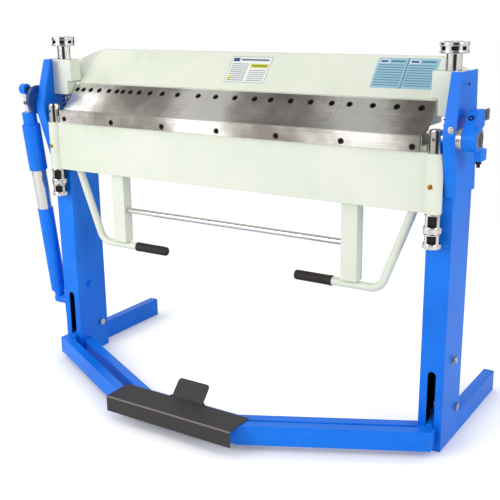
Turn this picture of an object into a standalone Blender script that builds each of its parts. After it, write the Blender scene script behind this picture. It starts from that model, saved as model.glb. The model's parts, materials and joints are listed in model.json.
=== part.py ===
# Foot-operated finger brake, 1270 mm bending length. Metres, +Z up.
# Two columns carry a fixed bed, a clamping beam with twelve removable fingers,
# and a bending leaf that swings up in front. A treadle lifts and lowers the beam.
import math

import bmesh
import bpy
from mathutils import Matrix, Vector

# Clearances
GAP = 0.0003
RUN = 0.0007
OVERRUN = 0.020
WELD = 0.000004

# Bending line: the front top edge of the bed, about which the leaf turns
BED_HEIGHT = 0.898
BEND_SETBACK = 0.0265
BEND_LENGTH = 1.270
FINGER_SHARES = (25, 30, 35, 40, 45, 50, 75, 100, 150, 200, 250, 270)

# Columns
COLUMN_INSET = 0.012
COLUMN_WIDTH = 0.071
COLUMN_DEPTH = 0.142
COLUMN_WALL = 0.005
COLUMN_DROP = 0.153
SLOT_WIDTH = 0.024
SLOT_FOOT = 0.028
SLOT_TOP = 0.239

# Rear feet and the floor frame
FOOT_WIDTH = 0.035
FOOT_HEIGHT = 0.068
FOOT_REACH = 0.345
FOOT_WALL = 0.004
FRAME_WIDTH = 0.034
FRAME_HEIGHT = 0.060
FRAME_WALL = 0.004
FRAME_JOIN = 0.0315
FRAME_RUN = 0.4797
SPLAY = math.radians(27.0)

# Heads on top of the columns
HEAD_PLATE = 0.008
CHEEK_PLATE = 0.006
HEAD_AIR = 0.0006
NOSE_FLARE = 0.008
TOE_FLARE = 0.002
FLANGE_INSET = 0.0625
HEAD_BASE = 0.012
HEAD_RISE = 0.162
HEAD_LAP = 0.007
HEAD_CREST = -0.008
HEAD_NOSE = -0.050
HEAD_NOSE_UP = 0.017
HEAD_NOSE_DOWN = 0.005
HEAD_TOE = -0.0085
HEAD_BACK_TOP = 0.118
HEAD_BACK_FOOT = 0.146
HEAD_BOSS = 0.0215

# Bed
BED_BAR_DEPTH = 0.055
BED_BAR_THICK = 0.025
BED_DEPTH = 0.130
BED_OVER = 0.007
BED_WALL = 0.012

# Leaf that bends the sheet
LEAF_PLATE = 0.0075
LEAF_BAR_THICK = 0.008
LEAF_BAR_TALL = 0.0405
LEAF_TALL = 0.201
LEAF_FLANGE = 0.064
LEAF_FLANGE_THICK = 0.008
HOUSING_INSET = 0.0385
HOUSING_RADIUS = 0.0225
HOUSING_TOP = 0.0415
POST_INSET = 0.210
POST_WIDTH = 0.050
POST_DEPTH = 0.040
POST_WALL = 0.003
POST_TALL = 0.2317
POST_FRONT = -0.012
TIE_RADIUS = 0.0095
TIE_DROP = 0.123
TIE_INSERT = 0.020
HANDLE_RADIUS = 0.0125
HANDLE_TOP_INSET = 0.027
HANDLE_KNEE_INSET = 0.1195
HANDLE_BEND = 0.045
HANDLE_END_INSET = 0.385
GRIP_RADIUS = 0.0155
GRIP_LENGTH = 0.126
GRIP_END = 0.010

# Pivots of the leaf
TRUNNION_RADIUS = 0.0205
TRUNNION_RISE = 0.016
TRUNNION_CAP = 0.003
TRUNNION_CAP_SHARE = 0.80
SPINDLE_RADIUS = 0.012
SHAFT_RADIUS = 0.0125
NUT_RADIUS = 0.0212
NUT_FOOT_RADIUS = 0.0245
NUT_TALL = 0.0527
LOCKNUT_TALL = 0.041
NUT_FLUTES = 8
NUT_FLUTE_DEPTH = 0.0035
NUT_RIM_SHARE = 0.32
SPINDLE_TAIL = 0.006

# Angle ring, stop collar and thumb screw on the right pivot
RING_RADIUS = 0.0305
RING_THICK = 0.014
COLLAR_RADIUS = 0.0315
COLLAR_LENGTH = 0.038
SHAFT_END_RADIUS = 0.0222
SHAFT_PROUD = 0.002
STOP_ARM_THICK = 0.026
STOP_ARM_BACK = 0.0715
STOP_ARM_FRONT = 0.020
STOP_ARM_LOW = 0.027
STOP_ARM_TALL = 0.070
DOG_FRONT = 0.0265
DOG_BACK = 0.0655
DOG_DROP = 0.060
DOG_THICK = 0.030
DOG_WIDTH = 0.020
DOG_WEB = 0.012
HUB_SHARES = (0.74, 0.65, 0.46, 0.57, 0.84, 0.41)
SCREW_RADIUS = 0.006
SCREW_SHANK = 0.030
SCREW_INSERT = 0.012
WING_RADIUS = 0.0145
WING_LENGTH = 0.038
WING_THICK = 0.006

# Crank disc and counterbalance strut on the left pivot
CRANK_RADIUS = 0.048
CRANK_THICK = 0.013
CRANK_RISE = 0.030
CRANK_BACK = -0.0065
CRANK_PIN_UP = 0.065
CRANK_PIN_FRONT = 0.0235
CRANK_PIN_RADIUS = 0.008
STRUT_OUT = 0.0474
STRUT_FOOT_Y = 0.040
STRUT_FOOT_Z = 0.190
TUBE_RADIUS = 0.0272
TUBE_BORE = 0.0256
TUBE_LENGTH = 0.3534
TUBE_FLOOR = 0.120
EYE_RADIUS = 0.018
EYE_THICK = 0.024
RAM_RADIUS = 0.0250
RAM_INSIDE = 0.110
RAM_SHOWN = 0.142
COVER_RADIUS = 0.031
COVER_LENGTH = 0.162
NECK_RADIUS = 0.0240
NECK_LENGTH = 0.042
LINK_RADIUS = 0.010
BRACKET_PLATE = 0.010
BRACKET_HALF = 0.030
BRACKET_TALL = 0.070

# Clamping beam and fingers
FINGER_SETBACK = 0.002
FINGER_FACE = 0.080
FINGER_THICK = 0.022
FINGER_LAND = 0.0185
FINGER_CREST = 0.005
FINGER_SEAM = 0.0004
BEAM_BACK = 0.110
BEAM_BAR_TOP = 0.082
BEAM_THROAT = 0.019
SHEET_RISE = 0.109
SHEET_LEAN = math.radians(50.0)
SHEET_NARROW = 0.025
FACET_SWEEP = 0.178
WING_REACH = 0.058
WING_DROP = 0.003
END_PLATE = 0.008
SHEET_THICK = 0.006
SHEET_RETURN = 0.030
RIB_COUNT = 3
RIB_THICK = 0.008
BLOCK_FRONT = 0.022
BLOCK_DEPTH = 0.050
BLOCK_RISE = 0.045
BLOCK_STEP_TALL = 0.045
BLOCK_TALL = 0.116
BLOCK_STEP_IN = 0.019
SLEEVE_RADIUS = 0.0215
SLEEVE_TALL = 0.0428
KNOB_RADIUS = 0.038
KNOB_TALL = 0.030
KNOB_NOTCHES = 8
KNOB_NOTCH_DEPTH = 0.006
KNOB_HUB_SHARE = 0.70
KNOB_RIM_SHARE = 0.30

# Clamp rods with forks, springs and guides
ROD_RADIUS = 0.010
ROD_BACK = 0.047
ROD_INSERT = 0.022
FORK_WIDTH = 0.033
FORK_DEPTH = 0.024
FORK_FOOT = 0.055
FORK_CROTCH = 0.110
FORK_TOP = 0.135
FORK_PIN_RADIUS = 0.006
SPRING_RADIUS = 0.0175
SPRING_WIRE = 0.002
SPRING_TURNS = 12
SPRING_POINTS = 9
GUIDE_DEPTH = 0.044
GUIDE_TALL = 0.030
GUIDE_FOOT = 0.244

# Treadle
PIVOT_BACK = 0.108
PIVOT_HEIGHT = 0.099
PIVOT_RADIUS = 0.008
PIVOT_HEAD = 0.0125
PIVOT_HEAD_TALL = 0.009
ARM_THICK = 0.020
ARM_HALF = 0.020
ARM_TOE_Y = -0.020
ARM_TOE_Z = 0.048
ARM_EYE = 0.0115
TREADLE_WIDTH = 0.030
TREADLE_HEIGHT = 0.060
TREADLE_FOOT = 0.018
TREADLE_WALL = 0.003
TREADLE_LAP = 0.0175
TREADLE_JOIN = -0.0275
TREADLE_RUN = 0.485
STUB_WIDTH = 0.044
STUB_FRONT = -0.046
STUB_BACK = -0.010
PLATE_LAP = 0.0125
PLATE_FORE = 0.0624
PLATE_AFT = 0.0396
PLATE_THICK = 0.003
PLATE_SKIRT = 0.050
TAB_HALF = 0.057
TAB_LENGTH = 0.065
TAB_THICK = 0.003
TAB_LEAN = math.radians(42.0)
TAB_CORNER = 0.010
TAB_BARREL = 0.0045
TAB_PIN = 0.0025
LUG_THICK = 0.005
LUG_DEPTH = 0.0125
LUG_TALL = 0.0125

# Facets
FACETS = 32
FEW_FACETS = 20

# Places worked out from the sizes
half = BEND_LENGTH / 2
finger_widths = [BEND_LENGTH * share / sum(FINGER_SHARES) for share in FINGER_SHARES]
bend_y = -BEND_SETBACK
col_in = half + COLUMN_INSET
col_out = col_in + COLUMN_WIDTH
line_x = col_in + COLUMN_WIDTH / 2
frame_end = col_in - GAP
frame_knee = frame_end - FRAME_RUN
treadle_end = line_x + TREADLE_LAP
treadle_knee = treadle_end - TREADLE_RUN
treadle_line_y = TREADLE_JOIN - TREADLE_RUN * math.tan(SPLAY)
plate_half = treadle_knee + PLATE_LAP
plate_front = treadle_line_y - PLATE_FORE
plate_back = treadle_line_y + PLATE_AFT
column_top = BED_HEIGHT - COLUMN_DROP
head_in = col_out + HEAD_AIR
head_out = head_in + CHEEK_PLATE
boss_out = head_out + NOSE_FLARE
base_top = column_top + GAP + HEAD_BASE
head_foot = column_top - HEAD_LAP
head_top = BED_HEIGHT + HEAD_RISE
block_foot = BED_HEIGHT + BLOCK_RISE
block_step = block_foot + BLOCK_STEP_TALL
block_top = block_foot + BLOCK_TALL
wing_top = block_top - WING_DROP
post_x = half + HOUSING_INSET
post_offset = half - POST_INSET
handle_top_x = half - HANDLE_TOP_INSET
handle_knee_x = half - HANDLE_KNEE_INSET
handle_end_x = half - HANDLE_END_INSET
leaf_front = bend_y - GAP - LEAF_PLATE
leaf_foot = BED_HEIGHT - LEAF_TALL
housing_top = BED_HEIGHT - HOUSING_TOP
bed_top = BED_HEIGHT - BED_BAR_THICK - GAP
bed_foot = leaf_foot + LEAF_FLANGE_THICK + BED_OVER
post_foot = leaf_foot - POST_TALL
tie_height = leaf_foot - TIE_DROP
collar_start = boss_out + RUN + RING_THICK + GAP
collar_end = collar_start + COLLAR_LENGTH
shaft_end = collar_end + SHAFT_PROUD
crank_out = boss_out + RUN + CRANK_THICK
strut_x = boss_out + STRUT_OUT
pin_y = bend_y - CRANK_PIN_FRONT
pin_z = BED_HEIGHT + CRANK_PIN_UP
strut_length = math.hypot(pin_y - STRUT_FOOT_Y, pin_z - STRUT_FOOT_Z)
strut_tilt = math.atan2(STRUT_FOOT_Y - pin_y, pin_z - STRUT_FOOT_Z)
nose_y = bend_y + FINGER_SETBACK
nose_z = BED_HEIGHT + GAP
crest_y = nose_y + FINGER_FACE
crest_z = nose_z + FINGER_FACE
sheet_y = crest_y + FINGER_CREST + 2 * GAP
sheet_z = crest_z + GAP
sheet_run = SHEET_RISE / math.tan(SHEET_LEAN)
rod_y = ROD_BACK
knob_foot = block_top + GAP + SLEEVE_TALL + GAP
treadle_top = TREADLE_FOOT + TREADLE_HEIGHT
plate_foot = treadle_top + GAP
plate_top = plate_foot + PLATE_THICK
side_reach_left = strut_x + COVER_RADIUS
side_reach_right = shaft_end
foot_back = COLUMN_DEPTH + GAP + FOOT_REACH
shift_x = (side_reach_left - side_reach_right) / 2
shift_y = -(foot_back + plate_front) / 2

for old in list(bpy.data.objects):
    bpy.data.objects.remove(old, do_unlink=True)


def empty(name, place, parent=None):
    """An empty at a place given in the machine's own coordinates."""
    point = bpy.data.objects.new(name, None)
    bpy.context.collection.objects.link(point)
    point.location = place
    if parent is not None:
        point.parent = parent
        point.location = Vector(place) - origin_of[parent.name]
    origin_of[name] = Vector(place)
    return point


origin_of = {}
machine = empty("machine", (0, 0, 0))
machine.location = (shift_x, shift_y, 0)
origin_of["machine"] = Vector((0, 0, 0))
leaf_axis = empty("leaf_axis", (0, bend_y, BED_HEIGHT), machine)
beam_line = empty("beam_line", (0, rod_y, block_top), machine)
treadle_axis = empty("treadle_axis", (0, PIVOT_BACK, PIVOT_HEIGHT), machine)
strut_foot = empty("strut_foot", (-strut_x, STRUT_FOOT_Y, STRUT_FOOT_Z), machine)
tab_axis_y = plate_back + GAP + TAB_BARREL + GAP
tab_axis_z = plate_top - LUG_TALL / 2
tab_axis = empty("tab_axis", (0, tab_axis_y, tab_axis_z), treadle_axis)


spindle_axis = {}
rod_axis = {}
for way, word in ((1, "right"), (-1, "left")):
    spindle_axis[way] = empty("spindle_axis_" + word, (way * post_x, bend_y, BED_HEIGHT), leaf_axis)
    rod_axis[way] = empty("rod_axis_" + word, (way * line_x, rod_y, block_top), beam_line)
screw_x = collar_start + GAP + STOP_ARM_THICK / 2
screw_z = BED_HEIGHT + (STOP_ARM_LOW + STOP_ARM_TALL) / 2
screw_face = bend_y + STOP_ARM_BACK
thumb_axis = empty("thumb_axis", (screw_x, screw_face, screw_z), leaf_axis)


def material(name, colour, roughness, metallic):
    """A painted, plated or bare finish of one colour."""
    made = bpy.data.materials.new(name)
    made.use_nodes = True
    shader = made.node_tree.nodes["Principled BSDF"]
    shader.inputs["Base Color"].default_value = (*colour, 1)
    shader.inputs["Roughness"].default_value = roughness
    shader.inputs["Metallic"].default_value = metallic
    made.diffuse_color = (*colour, 1)
    return made


blue_paint = material("blue_paint", (0.014, 0.19, 0.79), 0.35, 0)
cream_paint = material("cream_paint", (0.72, 0.78, 0.66), 0.4, 0)
ground_steel = material("ground_steel", (0.42, 0.39, 0.37), 0.35, 1)
chrome_plate = material("chrome_plate", (0.75, 0.75, 0.76), 0.12, 1)
black_steel = material("black_steel", (0.03, 0.03, 0.032), 0.45, 1)
grip_rubber = material("grip_rubber", (0.018, 0.016, 0.016), 0.75, 0)
tread_coat = material("tread_coat", (0.07, 0.062, 0.06), 0.8, 0)
spring_steel = material("spring_steel", (0.25, 0.25, 0.26), 0.35, 1)


def place(name, mesh, finish, parent, sharp=30):
    """Hang a mesh, written in the machine's coordinates, under its empty."""
    mesh.transform(Matrix.Translation(-origin_of[parent.name]))
    mesh.shade_smooth()
    mesh.set_sharp_from_angle(angle=math.radians(sharp))
    piece = bpy.data.objects.new(name, mesh)
    bpy.context.collection.objects.link(piece)
    piece.parent = parent
    mesh.materials.append(finish)
    return piece


def mesh_of(bm, name):
    bmesh.ops.recalc_face_normals(bm, faces=bm.faces)
    mesh = bpy.data.meshes.new(name)
    bm.to_mesh(mesh)
    bm.free()
    return mesh


def block(low, high):
    """A box between two corners."""
    outline = [(low[0], low[1]), (high[0], low[1]), (high[0], high[1]), (low[0], high[1])]
    return prism(outline, "Z", low[2], high[2])


def prism(outline, axis, start, end):
    """An outline pushed along an axis. Its points are the other two coordinates in order."""
    bm = bmesh.new()
    order = {"X": (2, 0, 1), "Y": (0, 2, 1), "Z": (0, 1, 2)}[axis]

    def at(point, depth):
        values = (point[0], point[1], depth)
        return Vector([values[i] for i in order])

    floor = [bm.verts.new(at(p, start)) for p in outline]
    roof = [bm.verts.new(at(p, end)) for p in outline]
    bm.faces.new(floor)
    bm.faces.new(list(reversed(roof)))
    for i in range(len(outline)):
        j = (i + 1) % len(outline)
        bm.faces.new((floor[i], floor[j], roof[j], roof[i]))
    return mesh_of(bm, "prism")


def turned(profile, axis, centre, facets=FACETS, wave=None):
    """A profile of (radius, distance) points turned about an axis through a centre."""
    bm = bmesh.new()
    rows = []
    for radius, along in profile:
        row = []
        for k in range(facets):
            r = radius if wave is None else wave(radius, along, k)
            a = 2 * math.pi * k / facets
            row.append((r * math.cos(a), r * math.sin(a), along))
            if radius == 0:
                break
        rows.append(row)
    order = {"X": (2, 0, 1), "Y": (1, 2, 0), "Z": (0, 1, 2)}[axis]
    middle = Vector(centre)
    made = [[bm.verts.new(middle + Vector([p[i] for i in order])) for p in row] for row in rows]
    closed = rows[0][0] != rows[-1][0] and len(rows[0]) > 1 and len(rows[-1]) > 1
    pairs = list(zip(made, made[1:]))
    if closed:
        pairs.append((made[-1], made[0]))
    for a, b in pairs:
        for k in range(facets):
            m = (k + 1) % facets
            if len(a) == 1:
                bm.faces.new((a[0], b[k], b[m]))
            elif len(b) == 1:
                bm.faces.new((a[k], a[m], b[0]))
            else:
                bm.faces.new((a[k], a[m], b[m], b[k]))
    return mesh_of(bm, "turned")


def rod(radius, axis, centre, start, end, facets=FACETS):
    """A plain round bar between two distances along an axis."""
    return turned(((0, start), (radius, start), (radius, end), (0, end)), axis, centre, facets)


def tidied(mesh):
    """Weld the points that an earlier cut left almost on top of each other."""
    bm = bmesh.new()
    bm.from_mesh(mesh)
    bmesh.ops.remove_doubles(bm, verts=bm.verts, dist=WELD)
    bmesh.ops.dissolve_degenerate(bm, edges=bm.edges, dist=WELD)
    bm.to_mesh(mesh)
    bm.free()
    return mesh


def combined(first, others, operation):
    """Join meshes to, or cut them from, a first mesh with exact Booleans, one after the other."""
    result = first
    for other in others:
        base = bpy.data.objects.new("base", result)
        helper = bpy.data.objects.new("helper", other)
        for item in (base, helper):
            bpy.context.collection.objects.link(item)
        helper.hide_render = True
        helper.display_type = "WIRE"
        step = base.modifiers.new("step", "BOOLEAN")
        step.operation = operation
        step.solver = "EXACT"
        step.object = helper
        bpy.context.view_layer.update()
        evaluated = base.evaluated_get(bpy.context.evaluated_depsgraph_get())
        result = tidied(bpy.data.meshes.new_from_object(evaluated))
        for item in (base, helper):
            bpy.data.objects.remove(item, do_unlink=True)
    return result


def joined(first, *others):
    return combined(first, others, "UNION")


def cut(first, *others):
    return combined(first, others, "DIFFERENCE")


def arc(centre, radius, start, end, steps):
    """Points on an arc, angles in radians."""
    turn = (end - start) / steps
    return [(centre[0] + radius * math.cos(start + turn * k), centre[1] + radius * math.sin(start + turn * k))
            for k in range(steps + 1)]


def side_name(stem, side):
    return stem + ("_right" if side > 0 else "_left")


def ordered(side, a, b):
    """The two X places of a piece on one side of the machine, low first."""
    return (a, b) if side > 0 else (-b, -a)


def column(side):
    """A folded steel column, open inside, with a round-topped slot for the treadle arm."""
    low, high = ordered(side, col_in, col_out)
    body = block((low, 0, 0), (high, COLUMN_DEPTH, column_top))
    hollow = block((low + COLUMN_WALL, COLUMN_WALL, -OVERRUN),
                   (high - COLUMN_WALL, COLUMN_DEPTH - COLUMN_WALL, column_top + OVERRUN))
    radius = SLOT_WIDTH / 2
    middle = side * line_x
    outline = arc((middle, SLOT_TOP - radius), radius, 0, math.pi, 8)
    outline += [(middle - radius, SLOT_FOOT), (middle + radius, SLOT_FOOT)]
    slot = prism(outline, "Y", -OVERRUN, COLUMN_WALL + OVERRUN)
    bore = rod(PIVOT_RADIUS + GAP, "X", (0, PIVOT_BACK, PIVOT_HEIGHT), low - OVERRUN, high + OVERRUN,
               FEW_FACETS)
    shell = cut(body, hollow, slot, bore)
    return place(side_name("column", side), shell, blue_paint, machine)


def rear_foot(side):
    """A square tube that runs back from the column along the floor, closed at its far end."""
    low, high = ordered(side, col_out - FOOT_WIDTH, col_out)
    start = COLUMN_DEPTH + GAP
    end = foot_back
    body = block((low, start, 0), (high, end, FOOT_HEIGHT))
    hollow = block((low + FOOT_WALL, start - OVERRUN, FOOT_WALL),
                   (high - FOOT_WALL, end - FOOT_WALL, FOOT_HEIGHT - FOOT_WALL))
    return place(side_name("rear_foot", side), cut(body, hollow), blue_paint, machine)


def splayed_band(end_x, join_y, knee_x, width):
    """Outline, seen from above, of a bar that runs across and splays back to both columns."""
    grow = width / 2 / math.cos(SPLAY)
    mitre = width / 2 * math.tan(SPLAY / 2)
    slope = math.tan(SPLAY)
    knee_y = join_y - (end_x - knee_x) * slope
    front = [(end_x, join_y - grow), (knee_x + mitre, knee_y - width / 2)]
    back = [(knee_x - mitre, knee_y + width / 2), (end_x, join_y + grow)]
    right = front
    left = [(-x, y) for x, y in reversed(front)]
    left_back = [(-x, y) for x, y in reversed(back)]
    return right + left + left_back + back


def splayed_bar(end_x, join_y, knee_x, width, foot, height, wall, open_below):
    """The splayed bar as a tube whose ends are open, or as a channel open below."""
    body = prism(splayed_band(end_x, join_y, knee_x, width), "Z", foot, foot + height)
    longer = end_x + OVERRUN
    further = join_y + OVERRUN * math.tan(SPLAY)
    inner = splayed_band(longer, further, knee_x, width - 2 * wall)
    floor = foot - OVERRUN if open_below else foot + wall
    hollow = prism(inner, "Z", floor, foot + height - wall)
    return cut(body, hollow)


def floor_frame():
    bar = splayed_bar(frame_end, FRAME_JOIN, frame_knee, FRAME_WIDTH, 0, FRAME_HEIGHT, FRAME_WALL, False)
    return place("floor_frame", bar, blue_paint, machine)


def lofted(stations):
    """A closed body through matching outlines, one after the other."""
    bm = bmesh.new()
    rows = [[bm.verts.new(Vector(p)) for p in row] for row in stations]
    bm.faces.new(rows[0])
    bm.faces.new(list(reversed(rows[-1])))
    for a, b in zip(rows, rows[1:]):
        for i in range(len(a)):
            j = (i + 1) % len(a)
            bm.faces.new((a[i], a[j], b[j], b[i]))
    bmesh.ops.triangulate(bm, faces=bm.faces)
    return mesh_of(bm, "loft")


def head(side):
    """Welded head: outer cheek, front flange that flares at the nose, base plate and inner cheek."""
    front = [(HEAD_CREST, head_top), (HEAD_NOSE, BED_HEIGHT + HEAD_NOSE_UP),
             (HEAD_NOSE, BED_HEIGHT - HEAD_NOSE_DOWN), (HEAD_TOE, head_foot)]
    outline = front + [(HEAD_BACK_FOOT, head_foot), (HEAD_BACK_TOP, head_top)]
    low, high = ordered(side, head_in, head_out)
    cheek = prism(outline, "X", low, high)
    flange_in = half + FLANGE_INSET
    widths = (head_out - GAP, boss_out, boss_out, head_out + TOE_FLARE)
    stations = []
    for (y, z), outer in zip(front, widths):
        stations.append([(side * flange_in, y - GAP, z), (side * outer, y - GAP, z),
                         (side * outer, y + HEAD_PLATE, z), (side * flange_in, y + HEAD_PLATE, z)])
    flange = lofted(stations)
    low, high = ordered(side, col_in, head_in + CHEEK_PLATE / 2)
    base = block((low, 0, column_top + GAP), (high, COLUMN_DEPTH, base_top))
    low, high = ordered(side, col_in, col_in + HEAD_PLATE)
    cheek_back = bend_y + BED_DEPTH
    inner = block((low, 0, base_top - HEAD_BASE / 2), (high, cheek_back, BED_HEIGHT - BED_BAR_THICK))
    low, high = ordered(side, flange_in + GAP, boss_out - GAP)
    boss = rod(HEAD_BOSS, "X", (0, bend_y, BED_HEIGHT), low, high)
    welded = joined(cheek, flange, base, inner, boss)
    low, high = ordered(side, col_in - OVERRUN, boss_out + OVERRUN)
    shaft_bore = rod(SHAFT_RADIUS + RUN, "X", (0, bend_y, BED_HEIGHT), low, high)
    rod_bore = rod(ROD_RADIUS + RUN, "Z", (side * line_x, rod_y, 0), column_top - OVERRUN,
                   base_top + OVERRUN, FEW_FACETS)
    return place(side_name("head", side), cut(welded, shaft_bore, rod_bore), blue_paint, machine)


def bed():
    """Channel-shaped bed beam with the hard bed bar on top."""
    end = col_in - GAP
    front = bend_y + 2 * GAP + RUN
    beam = block((-end, front, bed_foot), (end, bend_y + BED_DEPTH, bed_top))
    hollow = block((-end - OVERRUN, front + BED_WALL, bed_foot + BED_WALL),
                   (end + OVERRUN, bend_y + BED_DEPTH + OVERRUN, bed_top - BED_WALL))
    place("bed_beam", cut(beam, hollow), cream_paint, machine)
    bar = block((-half, bend_y + GAP, BED_HEIGHT - BED_BAR_THICK), (half, bend_y + BED_BAR_DEPTH, BED_HEIGHT))
    place("bed_bar", bar, ground_steel, machine)


def treadle_pin(side):
    """Pivot bolt of the treadle, across the foot of the column."""
    inner = side * col_in
    outer = side * col_out
    shank = rod(PIVOT_RADIUS, "X", (0, PIVOT_BACK, PIVOT_HEIGHT), inner - side * PIVOT_HEAD_TALL,
                outer + side * PIVOT_HEAD_TALL, FEW_FACETS)
    heads = []
    for start, way in ((outer, side), (inner, -side)):
        heads.append(rod(PIVOT_HEAD, "X", (0, PIVOT_BACK, PIVOT_HEIGHT), start + way * GAP,
                         start + way * PIVOT_HEAD_TALL, 6))
    return place(side_name("treadle_pin", side), joined(shank, *heads), chrome_plate, machine)


def rod_guide(side):
    """Block inside the column that keeps the clamp rod upright."""
    low, high = ordered(side, col_in + COLUMN_WALL + GAP, col_out - COLUMN_WALL - GAP)
    body = block((low, rod_y - GUIDE_DEPTH / 2, GUIDE_FOOT), (high, rod_y + GUIDE_DEPTH / 2,
                                                              GUIDE_FOOT + GUIDE_TALL))
    bore = rod(ROD_RADIUS + RUN, "Z", (side * line_x, rod_y, 0), GUIDE_FOOT - OVERRUN,
               GUIDE_FOOT + GUIDE_TALL + OVERRUN, FEW_FACETS)
    return place(side_name("rod_guide", side), cut(body, bore), black_steel, machine)


def lift_spring(side):
    """Open spring round the clamp rod that lifts the beam when the treadle is let go."""
    foot = base_top + GAP + SPRING_WIRE
    top = block_foot - GAP - SPRING_WIRE
    points = []
    count = SPRING_TURNS * SPRING_POINTS
    for k in range(count + 1):
        a = 2 * math.pi * k / SPRING_POINTS
        points.append(Vector((side * line_x + SPRING_RADIUS * math.cos(a),
                              rod_y + SPRING_RADIUS * math.sin(a),
                              foot + (top - foot) * k / count)))
    closest = min((points[i] - points[i + SPRING_POINTS]).length for i in range(count + 1 - SPRING_POINTS))
    print(side_name("lift_spring", side), "least gap between turns, mm:", 1000 * (closest - 2 * SPRING_WIRE))
    wire = bpy.data.curves.new("wire", "CURVE")
    wire.dimensions = "3D"
    wire.bevel_depth = SPRING_WIRE
    wire.bevel_resolution = 1
    wire.use_fill_caps = True
    run = wire.splines.new("POLY")
    run.points.add(len(points) - 1)
    for spot, point in zip(run.points, points):
        spot.co = (*(point - origin_of["machine"]), 1)
    coil = bpy.data.objects.new(side_name("lift_spring", side), wire)
    bpy.context.collection.objects.link(coil)
    coil.parent = machine
    wire.materials.append(spring_steel)
    return coil


def strut_bracket():
    """Plate and pin on the left column that the counterbalance strut stands on."""
    face = -(col_out + GAP)
    plate = block((face - BRACKET_PLATE, STRUT_FOOT_Y - BRACKET_HALF, STRUT_FOOT_Z - BRACKET_TALL / 2),
                  (face, STRUT_FOOT_Y + BRACKET_HALF, STRUT_FOOT_Z + BRACKET_TALL / 2))
    spot = (0, STRUT_FOOT_Y, STRUT_FOOT_Z)
    near = -(strut_x - EYE_THICK / 2 - RUN)
    far = -(strut_x + EYE_THICK / 2 + RUN)
    shoulder = rod(EYE_RADIUS, "X", spot, near, face - BRACKET_PLATE / 2, FEW_FACETS)
    pin = rod(CRANK_PIN_RADIUS, "X", spot, far - BRACKET_PLATE / 2, near + BRACKET_PLATE / 2, FEW_FACETS)
    cap = rod(CRANK_PIN_RADIUS + BRACKET_PLATE / 2, "X", spot, far - BRACKET_PLATE / 2, far, FEW_FACETS)
    return place("strut_bracket", joined(plate, shoulder, pin, cap), blue_paint, machine)


def trunnion(side):
    """Upright pivot post with its screwed spindle below and the leaf's pivot shaft to the outside."""
    middle = (side * post_x, bend_y, BED_HEIGHT)
    foot = housing_top + GAP - BED_HEIGHT
    tail = leaf_foot - NUT_TALL - LOCKNUT_TALL + SPINDLE_TAIL - BED_HEIGHT
    cap_radius = TRUNNION_RADIUS * TRUNNION_CAP_SHARE
    top = TRUNNION_RISE
    post = turned(((0, tail), (SPINDLE_RADIUS, tail), (SPINDLE_RADIUS, foot), (TRUNNION_RADIUS, foot),
                   (TRUNNION_RADIUS, top), (cap_radius, top), (cap_radius, top + TRUNNION_CAP),
                   (0, top + TRUNNION_CAP)), "Z", middle)
    if side > 0:
        far = collar_start
        wide = ((SHAFT_RADIUS, collar_start), (SHAFT_END_RADIUS, collar_start), (SHAFT_END_RADIUS, shaft_end),
                (0, shaft_end))
    else:
        far = crank_out
        wide = ((SHAFT_RADIUS, far), (0, far))
    profile = ((0, post_x), (SHAFT_RADIUS, post_x)) + wide
    profile = [(r, side * x) for r, x in profile]
    shaft = turned(profile, "X", (0, bend_y, BED_HEIGHT))
    return place(side_name("trunnion", side), joined(post, shaft), chrome_plate, leaf_axis)


def fluted(radius, depth, count, low, high):
    """Radius rule for a nut or knob that has flutes between two heights."""
    def rule(wanted, along, k):
        if wanted < radius or not low <= along <= high:
            return wanted
        return wanted - depth if (k * count * 2 // FACETS) % 2 else wanted
    return rule


def ring_nut(stem, side, top, tall):
    """Round nut with flutes for a hook spanner and a plain rim at its foot."""
    foot = top - tall
    rim = foot + tall * NUT_RIM_SHARE
    step = foot + tall * NUT_RIM_SHARE + GAP
    bore = SPINDLE_RADIUS + GAP
    profile = ((bore, foot), (NUT_FOOT_RADIUS, foot), (NUT_FOOT_RADIUS, rim), (NUT_RADIUS, step),
               (NUT_RADIUS, top), (bore, top))
    rule = fluted(NUT_RADIUS, NUT_FLUTE_DEPTH, NUT_FLUTES, step, top)
    nut = turned(profile, "Z", (side * post_x, bend_y, 0), FACETS, rule)
    return place(side_name(stem, side), nut, chrome_plate, spindle_axis[side])


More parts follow.
